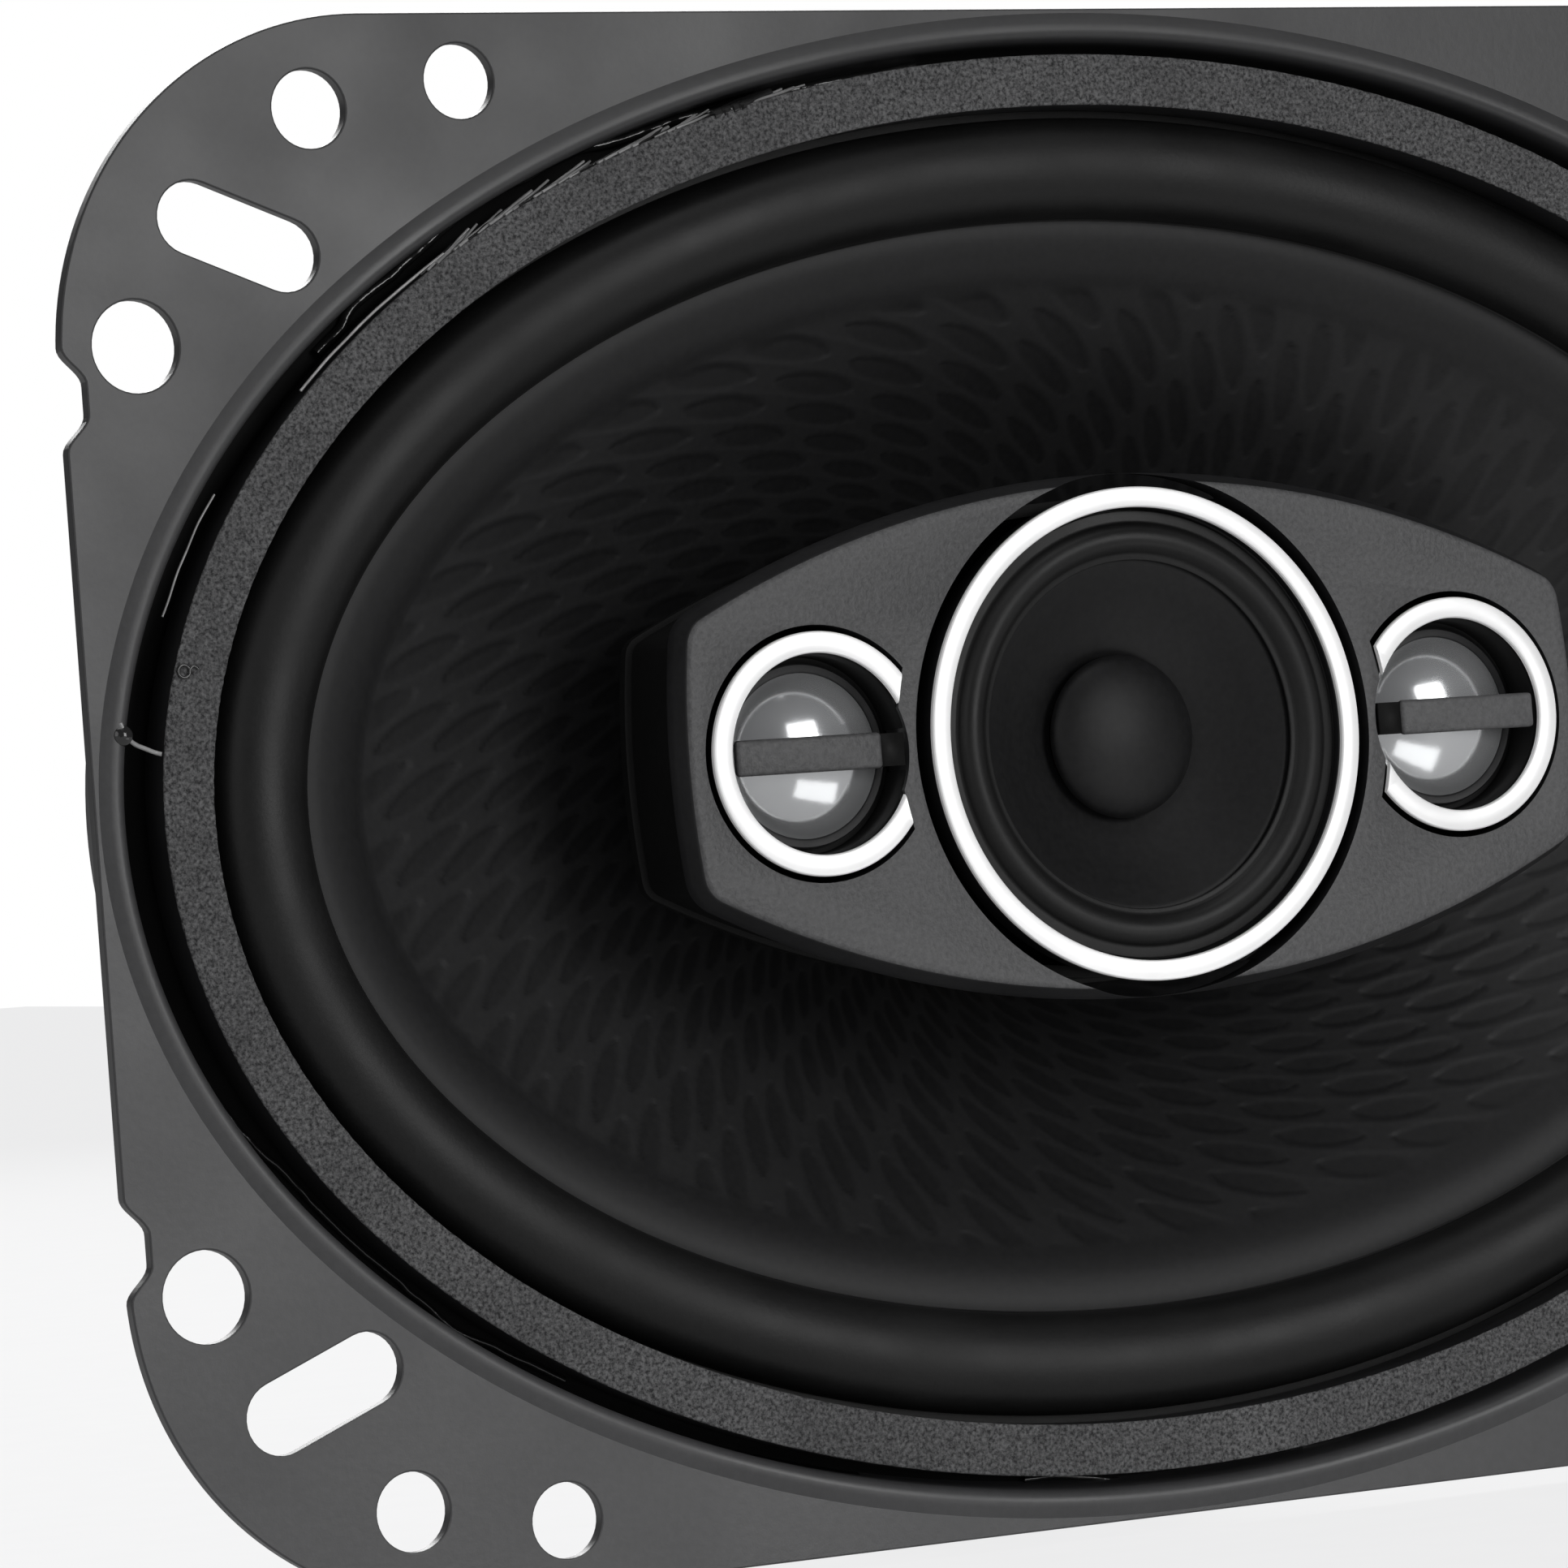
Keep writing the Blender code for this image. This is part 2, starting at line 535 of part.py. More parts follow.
def midrange(axis):
    """Centre driver: cup, chrome trim, surround, motor and the moving cone."""
    z = POD_RISE
    turned("mid_cup", [(0.0, 5.2), (14.2, 5.2), (14.2, -2.9), (15.6, -2.9), (15.6, -3.8),
                       (16.6, -3.8), (16.6, -1.8), (15.2, -1.8), (15.2, 6.0), (0.0, 6.0)],
           BLACK_PLASTIC, LARGE_SEGS, z=z)
    inner, outer = MID_RING_R
    turned("mid_trim_ring", [(inner, MID_RING_Y[1]), (inner + 0.15, MID_RING_Y[0]),
                             (outer - 0.15, MID_RING_Y[0]), (outer, MID_RING_Y[1])], CHROME, LARGE_SEGS, z=z)
    turned("mid_surround", [(15.3, -3.5), (14.4, -3.5), (13.8, -4.2), (13.0, -4.2), (12.4, -3.5),
                            (11.9, -3.5), (11.9, -3.2), (12.6, -3.2), (13.1, -3.85),
                            (13.7, -3.85), (14.2, -3.2), (15.3, -3.2)],
           RUBBER, LARGE_SEGS, z=z)
    turned("mid_top_plate", tube_profile((5.4, 8.5), (1.4, 2.2)), ZINC, z=z)
    turned("mid_magnet", tube_profile((6.0, 9.0), (2.5, 4.0)), FERRITE, z=z)
    turned("mid_yoke", [(0.0, 1.4), (4.1, 1.4), (4.1, 4.3), (8.5, 4.3), (8.5, 4.9), (0.0, 4.9)],
           ZINC, z=z)
    turned("mid_cone", [(12.3, -2.9), (11.6, -2.9), (8.4, -1.1), (5.2, 0.2), (5.2, 0.6),
                        (8.4, -0.7), (11.6, -2.5), (12.3, -2.5)], CONE_FINISH, LARGE_SEGS, z=z, parent=axis)
    turned("mid_dust_cap", [(0.0, -2.4), (2.2, -2.15), (4.2, -1.4), (5.6, -0.6), (5.3, -0.4),
                            (4.0, -1.1), (2.1, -1.8), (0.0, -2.05)], CONE_FINISH, z=z, parent=axis)
    turned("mid_voice_coil", tube_profile((4.5, 5.0), (0.95, 3.6)), COPPER, z=z, parent=axis)


def tweeter(side, x, axis, clearance):
    """One small dome tweeter in its pocket at the end of the pod."""
    z = POD_RISE
    clip_r, wall_r = TWEETER_RING_R
    frame = turned("tweeter_frame_" + side,
                   [(clip_r, -3.7), (7.95, -3.7), (7.95, -0.3), (5.7, -0.3), (5.7, -0.9), (clip_r, -0.9)],
                   BLACK_PLASTIC, LARGE_SEGS, x, z)
    cut(frame, clearance)
    ring = turned("tweeter_trim_ring_" + side,
                  [(clip_r, -4.0), (clip_r + 0.15, -4.4), (wall_r - 0.15, -4.4), (wall_r, -4.0)],
                  CHROME, LARGE_SEGS, x, z)
    cut(ring, clearance)
    half = clip_r - GAP
    box("tweeter_bar_" + side, (x - half, -4.2, z - 1.2), (x + half, -3.5, z + 1.2), BLACK_PLASTIC, 0.2)
    sphere_r = (DOME_R ** 2 + DOME_RISE ** 2) / (2.0 * DOME_RISE)
    centre_y = DOME_BASE_Y - DOME_RISE + sphere_r
    span = math.asin(DOME_R / sphere_r)
    front = [(sphere_r * math.sin(span * k / 4), centre_y - sphere_r * math.cos(span * k / 4))
             for k in range(5)]
    shell = 0.3
    dome = front + [(6.2, DOME_BASE_Y), (6.2, DOME_BASE_Y + 0.2)]
    dome += [(r * (1.0 - shell / sphere_r), y + shell) for r, y in reversed(front)]
    turned("tweeter_dome_" + side, dome, DOME_FILM, SMALL_SEGS, x, z, axis)
    turned("tweeter_coil_" + side, tube_profile((4.9, 5.3), (-0.7, 1.8)), COPPER, SMALL_SEGS, x, z, axis)
    turned("tweeter_pole_disc_" + side, disc_profile(4.5, (-0.3, 0.6)), ZINC, SMALL_SEGS, x, z)
    turned("tweeter_magnet_" + side, disc_profile(4.2, (0.9, 3.1)), ZINC, SMALL_SEGS, x, z)
    turned("tweeter_yoke_" + side,
           [(0.0, 3.4), (5.9, 3.4), (5.9, 0.0), (7.0, 0.0), (7.0, 4.4), (0.0, 4.4)], ZINC, SMALL_SEGS, x, z)


# ---- wiring -----------------------------------------------------------------------
def terminals():
    """Terminal board riveted to the back of the spider landing, with two capacitors."""
    front = LANDING_Y + SHEET_T + GAP
    back = front + 1.2
    board = box("terminal_board", (-15.0, front, -45.5), (15.0, back, -28.5), PHENOLIC)
    holes = bmesh.new()
    drill(holes, BOARD_RIVETS, BOARD_HOLE_R, front - 1.0, back + 1.0)
    cut(board, as_cutter(add_object("board_cutter", holes, None)))
    for k, (x, z) in enumerate(BOARD_RIVETS):
        turned("board_rivet_%d" % (k + 1),
               [(0.0, LANDING_Y + 0.1), (0.9, LANDING_Y + 0.1), (0.9, back + GAP), (2.0, back + GAP),
                (2.0, back + GAP + 0.4), (1.2, back + GAP + 0.9), (0.0, back + GAP + 0.9)],
               ZINC, 12, x, z)
    tab_front = back + GAP
    for name, x, half in (("terminal_positive", 10.0, 3.15), ("terminal_negative", -10.0, 2.4)):
        box(name, (x - half, tab_front, -50.5), (x + half, tab_front + 0.8, -40.0), BRASS)
    for name, z, radius, half in (("capacitor_midrange", -36.4, 3.1, 6.3),
                                  ("capacitor_tweeter", -42.6, 2.5, 5.5)):
        bm = bmesh.new()
        bmesh.ops.create_cone(bm, cap_ends=True, segments=24, radius1=radius * MM, radius2=radius * MM,
                              depth=2.0 * half * MM)
        bmesh.ops.rotate(bm, verts=bm.verts, cent=(0, 0, 0),
                         matrix=Vector((0, 0, 1)).rotation_difference(Vector((1, 0, 0))).to_matrix())
        bmesh.ops.translate(bm, verts=bm.verts, vec=Vector((0.0, back + GAP + radius, z)) * MM)
        add_object(name, bm, SLEEVE)


def tinsel_lead(name, x):
    """Braided lead from the board, through a window, to the back of the cone."""
    route = [Vector((x, 24.5, -37.4)), Vector((x, 21.8, -38.9)), Vector((x, 18.4, -38.4)),
             Vector((x * 0.95, 16.2, -34.5)), Vector((x * 0.9, 15.0, -29.0)),
             Vector((x * 0.85, 13.6, -23.6))]
    curve = bpy.data.curves.new(name, "CURVE")
    curve.dimensions = "3D"
    curve.bevel_depth = 0.45 * MM
    curve.bevel_resolution = 2
    curve.use_fill_caps = True
    points = smooth_route(route, 3)
    spline = curve.splines.new("POLY")
    spline.points.add(len(points) - 1)
    for point, place in zip(spline.points, points):
        point.co = (*(place * MM), 1.0)
    curve.materials.append(finish_material(name, *COPPER))
    obj = bpy.data.objects.new(name, curve)
    bpy.context.scene.collection.objects.link(obj)
    return obj


def smooth_route(route, steps):
    """Points on a smooth curve through the route's own points."""
    padded = [route[0] * 2 - route[1]] + route + [route[-1] * 2 - route[-2]]
    points = []
    for p0, p1, p2, p3 in zip(padded, padded[1:], padded[2:], padded[3:]):
        for k in range(steps):
            t = k / steps
            points.append(0.5 * (2 * p1 + (p2 - p0) * t + (2 * p0 - 5 * p1 + 4 * p2 - p3) * t * t
                                 + (3 * p1 - p0 - 3 * p2 + p3) * t ** 3))
    return points + [route[-1]]


def build():
    """Make the whole speaker."""
    for obj in list(bpy.data.objects):
        bpy.data.objects.remove(obj, do_unlink=True)
    basket_frame()
    gasket()
    surround()
    woofer_axis = add_axis("woofer_axis")
    cone(woofer_axis)
    voice_coil(woofer_axis)
    spider()
    motor()
    pod_housing()
    pod_support()
    midrange(add_axis("mid_axis", z=POD_RISE))
    clearance = as_cutter(turned("clearance_cutter", disc_profile(TWEETER_CLIP_R + GAP, (-8.0, 8.0)),
                                 None, LARGE_SEGS, z=POD_RISE))
    for side, x in (("left", -TWEETER_X), ("right", TWEETER_X)):
        tweeter(side, x, add_axis("tweeter_axis_" + side, x, POD_RISE), clearance)
    terminals()
    tinsel_lead("tinsel_lead_positive", 4.5)
    tinsel_lead("tinsel_lead_negative", -4.5)


build()
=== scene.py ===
# %% [markdown]
# # A three-way coaxial car speaker
#
# This lesson dresses an engineering model of an oval car speaker. The model gives every
# piece its place and its movement. Here each piece gets its finished shape and surface:
# rolled steel edges, a foam gasket, a rubber roll, a moulded cone and chromed rings.
# Everything is in metres; the front faces -Y, and Z is up, as in a car door.

# %% Load the speaker
import math

import bmesh
import bpy
import numpy as np
from mathutils import Matrix, Quaternion, Vector


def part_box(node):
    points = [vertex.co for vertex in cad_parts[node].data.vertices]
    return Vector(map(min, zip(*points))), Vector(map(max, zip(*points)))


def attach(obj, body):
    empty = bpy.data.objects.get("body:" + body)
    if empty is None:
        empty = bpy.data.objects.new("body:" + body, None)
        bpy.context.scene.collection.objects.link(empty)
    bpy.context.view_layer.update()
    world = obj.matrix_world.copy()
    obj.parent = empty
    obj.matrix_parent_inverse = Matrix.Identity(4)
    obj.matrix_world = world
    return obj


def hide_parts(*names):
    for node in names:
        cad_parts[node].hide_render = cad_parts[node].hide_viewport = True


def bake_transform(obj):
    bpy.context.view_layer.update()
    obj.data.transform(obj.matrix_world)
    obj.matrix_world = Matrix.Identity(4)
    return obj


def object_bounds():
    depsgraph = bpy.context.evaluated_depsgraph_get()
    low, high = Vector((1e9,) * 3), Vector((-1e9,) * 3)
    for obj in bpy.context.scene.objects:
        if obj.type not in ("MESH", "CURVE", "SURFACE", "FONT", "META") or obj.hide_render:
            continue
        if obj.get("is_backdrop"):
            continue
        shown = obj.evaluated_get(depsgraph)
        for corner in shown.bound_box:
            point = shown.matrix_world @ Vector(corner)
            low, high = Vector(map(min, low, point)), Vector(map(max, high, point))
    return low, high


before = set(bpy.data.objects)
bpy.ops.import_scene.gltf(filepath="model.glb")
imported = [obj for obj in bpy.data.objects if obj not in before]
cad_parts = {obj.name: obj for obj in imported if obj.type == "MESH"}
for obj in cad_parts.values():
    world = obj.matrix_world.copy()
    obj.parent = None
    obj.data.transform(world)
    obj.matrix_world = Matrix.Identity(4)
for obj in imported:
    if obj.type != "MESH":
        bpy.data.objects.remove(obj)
cad_box = [list(corner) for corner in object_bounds()]
MM = 0.001

# %% [markdown]
# ## Camera
#
# A long lens from the left keeps the oval's proportions honest, and a small roll makes the
# speaker lean a little, as if it were resting on a bench.

# %% Camera
LENS_MM = 160.8
camera_aim = Vector((0.4672, 0.8839, 0.0219)).normalized()
camera_roll = math.radians(-4.37)


def new_object(name, data):
    """A new object, linked into the scene."""
    obj = bpy.data.objects.new(name, data)
    bpy.context.scene.collection.objects.link(obj)
    return obj


camera_data = bpy.data.cameras.new("camera")
camera_data.lens = LENS_MM
camera_data.sensor_width = 36.0
camera = new_object("camera", camera_data)
camera.location = (-0.2448, -0.4139, -0.0104)
camera.rotation_mode = "QUATERNION"
camera.rotation_quaternion = (camera_aim.to_track_quat("-Z", "Y")
                              @ Quaternion((0.0, 0.0, 1.0), camera_roll))
bpy.context.scene.camera = camera
print("camera looks along", tuple(round(c, 3) for c in camera_aim))

# %% [markdown]
# ## Studio light
#
# The backdrop is plain white. Wide soft lights suit black goods: satin paint, rubber and
# plastic show their shape only through broad, soft reflections. A small card low in front
# gives the bright domes their lower reflection, as a sheet of paper on the table would.

# %% Studio light
world = bpy.data.worlds.new("studio")
bpy.context.scene.world = world
world.use_nodes = True
tree = world.node_tree
seen = tree.nodes.new("ShaderNodeLightPath")
backdrop = tree.nodes.new("ShaderNodeMix")
backdrop.data_type = "RGBA"
backdrop.inputs["A"].default_value = (0.13, 0.13, 0.133, 1.0)
backdrop.inputs["B"].default_value = (1.0, 1.0, 1.0, 1.0)
tree.links.new(seen.outputs["Is Camera Ray"], backdrop.inputs["Factor"])
tree.links.new(backdrop.outputs["Result"], tree.nodes["Background"].inputs["Color"])
bpy.context.scene.view_settings.view_transform = "Standard"


def soft_light(name, place, size, watts, target=(0.0, 0.0, 0.0)):
    """A soft box aimed at a point."""
    data = bpy.data.lights.new(name, "AREA")
    data.shape = "RECTANGLE"
    data.size, data.size_y = size
    data.energy = watts
    light = new_object(name, data)
    light.location = place
    aim = Vector(target) - Vector(place)
    light.rotation_mode = "QUATERNION"
    light.rotation_quaternion = aim.to_track_quat("-Z", "Y")
    return light


soft_light("key_light", (-0.80, -0.60, 0.30), (0.6, 0.6), 1.5)
soft_light("top_light", (-0.15, -0.45, 1.0), (0.9, 0.5), 2.6)
soft_light("front_light", (0.41, -1.1, 0.22), (0.5, 0.6), 5.6)
soft_light("rear_light", (0.3, 1.0, 0.7), (0.8, 0.8), 15.0)
card = soft_light("floor_card", (0.022, -0.078, -0.048), (0.07, 0.04), 0.013, (-0.03, 0.0, 0.0))
card.visible_camera = False

# %% [markdown]
# ## Tools of the bench
#
# Almost every piece of a speaker is a stack of rings: ovals for the basket and the soft
# parts, circles for the motor. One lofting helper joins a stack of rings into a skin, and
# a turning helper makes the rings from a profile, like a lathe. A stack of rings is exact
# and light, where a sculpted mesh would be neither.

# %% Rings and lofts
MERGE = 1e-6
SHARP = 32.0


def tidy_mesh(obj, angle=SHARP):
    """Merge doubled points, turn faces outward and shade smooth up to an angle."""
    bm = bmesh.new()
    bm.from_mesh(obj.data)
    bmesh.ops.remove_doubles(bm, verts=bm.verts, dist=MERGE)
    bmesh.ops.dissolve_degenerate(bm, edges=bm.edges, dist=1e-7)
    bmesh.ops.recalc_face_normals(bm, faces=bm.faces)
    bm.to_mesh(obj.data)
    bm.free()
    obj.data.shade_smooth()
    obj.data.set_sharp_from_angle(angle=math.radians(angle))
    return obj


def cap_ends(obj):
    """Close the open ends of a loft with flat faces."""
    bm = bmesh.new()
    bm.from_mesh(obj.data)
    bmesh.ops.holes_fill(bm, edges=[e for e in bm.edges if e.is_boundary])
    bmesh.ops.recalc_face_normals(bm, faces=bm.faces)
    bm.to_mesh(obj.data)
    bm.free()
    return obj


def oval(a, b, y, count):
    """A ring of points on an upright oval; a, b and y in millimetres."""
    t = np.arange(count) * 2.0 * math.pi / count
    return np.stack([a * np.cos(t), np.full(count, y), b * np.sin(t)], axis=1) * MM


def loft(name, rings, closed=True):
    """Skin over a stack of equal rings; closed joins the last ring to the first."""
    count = len(rings[0])
    stacks = len(rings) if closed else len(rings) - 1
    faces = []
    for k in range(stacks):
        here = k * count
        there = (k + 1) % len(rings) * count
        for i in range(count):
            j = (i + 1) % count
            faces.append((here + i, here + j, there + j, there + i))
    mesh = bpy.data.meshes.new(name)
    mesh.from_pydata([tuple(p) for p in np.concatenate(rings)], [], faces)
    return tidy_mesh(new_object(name, mesh))


def soften(profile, radius, steps=4):
    """Round the corners of a profile with small arcs; one that starts on the axis is open."""
    out = []
    closed = profile[0][0] > 0.0
    last = len(profile) - 1
    for i, corner in enumerate(profile):
        if not closed and i in (0, last):
            out.append(tuple(corner))
            continue
        c = np.array(corner, float)
        before = np.array(profile[i - 1], float) - c
        after = np.array(profile[(i + 1) % len(profile)], float) - c
        lengths = np.linalg.norm(before), np.linalg.norm(after)
        reach = min(radius, 0.45 * lengths[0], 0.45 * lengths[1])
        start = c + before / lengths[0] * reach
        end = c + after / lengths[1] * reach
        for s in range(steps + 1):
            t = s / steps
            out.append(tuple((1 - t) ** 2 * start + 2 * t * (1 - t) * c + t * t * end))
    return out


def turn(name, profile, count=96, centre=(0.0, 0.0)):
    """Turn a profile of (radius, y) in millimetres about an axis along Y."""
    closed = profile[0][0] > 0.0
    shift = np.array([centre[0], 0.0, centre[1]]) * MM
    tip = 1e-4
    rings = [oval(max(r, tip), max(r, tip), y, count) + shift for r, y in profile]
    obj = loft(name, rings, closed)
    return obj if closed else tidy_mesh(cap_ends(obj))


print("rings, lofts and lathe ready")

# %% [markdown]
# A finished piece has to do three more things: wear a surface, follow the part of the
# speaker that carries it, and stand in for the plain pieces of the engineering model. Cuts
# and rounded edges are modifiers that are made part of the mesh at once, because the mesh
# is the result.

# %% Dressing, carving and rounding
def dress(piece, body, material, slot, *nodes):
    """Give a finished piece its surface, its body, and the plain nodes it stands for."""
    piece.data.materials.clear()
    piece.data.materials.append(material)
    if body:
        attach(piece, body)
    if nodes:
        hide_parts(*nodes)
    return piece


def repaint(piece, others, choose):
    """Add surfaces to a piece; choose says from a face's middle (mm) which one it wears."""
    for material in others:
        piece.data.materials.append(material)
    for face in piece.data.polygons:
        face.material_index = int(choose(*(face.center / MM)))


def final_mesh(obj):
    """The mesh of an object with its modifiers or its curve worked out."""
    bpy.context.view_layer.update()
    graph = bpy.context.evaluated_depsgraph_get()
    return bpy.data.meshes.new_from_object(obj.evaluated_get(graph), depsgraph=graph)


def apply_modifiers(obj):
    """Make an object's modifiers part of its mesh."""
    mesh = final_mesh(obj)
    obj.modifiers.clear()
    obj.data = mesh
    return tidy_mesh(obj)


def carve(target, cutters):
    """Cut shapes out of a piece, then throw the cutters away."""
    for cutter in cutters:
        modifier = target.modifiers.new("cut", "BOOLEAN")
        modifier.operation = "DIFFERENCE"
        modifier.solver = "EXACT"
        modifier.object = cutter
    apply_modifiers(target)
    for cutter in cutters:
        bpy.data.objects.remove(cutter, do_unlink=True)
    return target


def round_edges(obj, width, segments=2, angle=40.0):
    """Break the sharp edges of a finished cut, as a mould or a file would."""
    bevel = obj.modifiers.new("edge", "BEVEL")
    bevel.width = width * MM
    bevel.segments = segments
    bevel.limit_method = "ANGLE"
    bevel.angle_limit = math.radians(angle)
    bevel.harden_normals = False
    return apply_modifiers(obj)


print("bench tools ready")

# %% [markdown]
# ## Surfaces
#
# A surface is more than a colour. Paint has orange peel, rubber has a bloom of dust, foam
# has open cells. Each recipe below mixes two tones by a noise of the right size, moves the
# roughness a little and adds a fine bump. The sizes are real: a cell of 0.4 mm in the foam
# is 0.4 mm in the recipe.

# %% A recipe for surfaces
class Surface:
    """A material being mixed: its main shader, and helpers that add the nodes before it."""

    def __init__(self, name, roughness, metallic=0.0, specular=0.5):
        self.material = bpy.data.materials.new(name)
        self.material.use_nodes = True
        self.nodes = self.material.node_tree.nodes
        self.shader = self.nodes["Principled BSDF"]
        self.feed(self.shader, "Roughness", roughness)
        self.feed(self.shader, "Metallic", metallic)
        self.feed(self.shader, "Specular IOR Level", specular)
        self.where = self.add("TexCoord").outputs["Object"]

    def feed(self, node, socket, value):
        """Give a node's input a fixed value, or join another node's output to it."""
        if isinstance(value, bpy.types.NodeSocket):
            self.material.node_tree.links.new(value, node.inputs[socket])
        else:
            node.inputs[socket].default_value = value

    def add(self, kind, settings=(), **sockets):
        """Add a node with its settings and feed its inputs."""
        node = self.nodes.new("ShaderNode" + kind)
        for key, value in dict(settings).items():
            setattr(node, key, value)
        for socket, value in sockets.items():
            self.feed(node, socket.replace("_", " "), value)
        return node

    def noise(self, size_mm, detail=3.0, rough=0.55, stretch=(1.0, 1.0, 1.0)):
        """Noise whose blobs are about size_mm across."""
        place = self.add("Mapping", Scale=stretch, Vector=self.where)
        return self.add("TexNoise", Scale=0.6 / (size_mm * MM), Detail=detail, Roughness=rough,
                        Vector=place.outputs["Vector"]).outputs["Fac"]

    def wave(self, kind, direction, pitch_mm, **sockets):
        """Even ridges, straight or in rings."""
        ways = {"wave_type": kind, "rings_direction": direction, "bands_direction": direction}
        return self.add("TexWave", ways, Scale=0.31 / (pitch_mm * MM), Vector=self.where,
                        **sockets).outputs["Fac"]

    def spread(self, value, low, high, to_low=0.0, to_high=1.0):
        """Stretch a value's range."""
        return self.add("MapRange", From_Min=low, From_Max=high, To_Min=to_low, To_Max=to_high,
                        Value=value).outputs["Result"]

    def work_out(self, operation, *values):
        """Arithmetic on values, each a number or another node's output."""
        node = self.add("Math", {"operation": operation})
        for k, value in enumerate(values):
            self.feed(node, k, value)
        return node.outputs["Value"]

    def blend(self, factor, first, second, way="MIX"):
        """Blend two colours by a factor."""
        return self.add("Mix", {"data_type": "RGBA", "blend_type": way}, A=first, B=second,
                        Factor=factor).outputs["Result"]

    def tones(self, factor, dark, light, socket="Base Color"):
        """Send the shader a blend of two colours."""
        self.feed(self.shader, socket, self.blend(factor, (*dark, 1.0), (*light, 1.0)))

    def relief(self, height, depth_mm, strength=1.0):
        """Bump from a height value."""
        bump = self.add("Bump", Distance=depth_mm * MM, Strength=strength, Height=height)
        self.feed(self.shader, "Normal", bump.outputs["Normal"])


def grained(name, dark, light, roughness, grain_mm, depth_mm, patch_mm=9.0,
            specular=0.5, stretch=(1.0, 1.0, 1.0)):
    """A surface with a fine grain, slow patches of tone and uneven gloss."""
    mix = Surface(name, roughness, 0.0, specular)
    grain = mix.noise(grain_mm, 4.0, 0.6, stretch)
    patch = mix.noise(patch_mm, 3.0)
    both = mix.work_out("MULTIPLY_ADD", mix.spread(grain, 0.3, 0.7), 0.5,
                      mix.spread(patch, 0.3, 0.7, 0.0, 0.5))
    mix.tones(both, dark, light)
    gloss = mix.spread(patch, 0.3, 0.7, roughness - 0.08, roughness + 0.08)
    mix.feed(mix.shader, "Roughness", gloss)
    mix.relief(grain, depth_mm)
    return mix


paint = grained("satin_black_paint", (0.034, 0.034, 0.035), (0.050, 0.050, 0.052),
                0.44, 0.35, 0.012, 14.0)
roll_rubber = grained("roll_rubber", (0.004, 0.004, 0.004), (0.009, 0.009, 0.009),
                      0.47, 0.22, 0.014, 7.0, specular=0.24).material
# Near black, used for black parts and as painted shade in the basket's channel, behind the pod's skirt and
# on the tweeter guards' ends.
deep_black_and_shade = grained("deep_black_and_painted_shade", (0.004, 0.004, 0.004), (0.008, 0.008, 0.008),
                     0.60, 0.25, 0.010, 7.0, specular=0.15).material
pod_plastic = grained("grained_pod_plastic", (0.024, 0.024, 0.025), (0.086, 0.086, 0.088),
                      0.52, 0.22, 0.075, 12.0).material
# Dark plastic for dark parts, also used as painted shade on the gasket's sides and the pod's skirt.
dark_plastic_and_shade = grained("dark_plastic_and_shade", (0.009, 0.009, 0.0095), (0.017, 0.017, 0.018),
                       0.46, 0.25, 0.012, 6.0, specular=0.3).material
ferrite_stone = grained("ferrite", (0.016, 0.016, 0.018), (0.040, 0.040, 0.042),
                        0.58, 0.30, 0.030, 10.0, specular=0.35).material
kraft_paper = grained("kraft_paper", (0.20, 0.12, 0.055), (0.30, 0.19, 0.09),
                      0.75, 0.30, 0.030, 3.0, stretch=(1.0, 0.3, 1.0)).material
phenolic_board = grained("phenolic_board", (0.10, 0.042, 0.014), (0.16, 0.070, 0.026),
                         0.50, 0.5, 0.010, 3.0, stretch=(0.2, 1.0, 1.0)).material
sleeve_film = grained("capacitor_sleeve", (0.010, 0.020, 0.055), (0.016, 0.030, 0.085),
                      0.28, 0.6, 0.006, 5.0).material
# Painted shade: the paint is darkened towards the top edge, so that it is paler towards the bottom edge,
# where more light falls.
plain_paint = paint.shader.inputs["Base Color"].links[0].from_socket
height = paint.add("SeparateXYZ", Vector=paint.where).outputs["Z"]
paint_shaded_by_height = paint.blend(paint.spread(height, -0.05, 0.05), plain_paint, (0.55, 0.55, 0.55, 1.0), "MULTIPLY")
paint.feed(paint.shader, "Base Color", paint_shaded_by_height)
black_paint = paint.material
print("plain surfaces:", len(bpy.data.materials))

# %% [markdown]
# Chrome, plated steel and copper get their life from what they reflect, so their recipes
# only add faint smears and, for turned parts, fine rings about the axis. The bright rings
# are lacquered, which makes them whiter and less mirror-like than bare chrome.

# %% Metals
def metal(name, colour, roughness, smear=0.05, scratch_mm=0.5, depth_mm=0.002,
          stretch=(1.0, 1.0, 1.0), bare=1.0):
    """A bare or lacquered metal with faint smears and hairline marks."""
    mix = Surface(name, roughness, bare)
    smears = mix.noise(5.0, 4.0)
    darker = tuple(0.90 * c for c in colour)
    mix.tones(mix.spread(smears, 0.35, 0.65), darker, colour)
    mix.feed(mix.shader, "Roughness", mix.spread(smears, 0.3, 0.7, roughness, roughness + smear))
    mix.relief(mix.noise(scratch_mm, 3.0, 0.6, stretch), depth_mm)
    return mix.material


def turned_metal(name, colour, roughness, pitch_mm):
    """A metal with the fine rings a lathe leaves about the Y axis."""
    mix = Surface(name, roughness, 1.0)
    rings = mix.wave("RINGS", "Y", pitch_mm, Distortion=0.6, Detail=2.0)
    smears = mix.noise(4.0, 4.0)
    darker = tuple(0.78 * c for c in colour)
    mix.tones(mix.spread(smears, 0.3, 0.7), darker, colour)
    mix.relief(rings, 0.006, 0.6)
    return mix.material


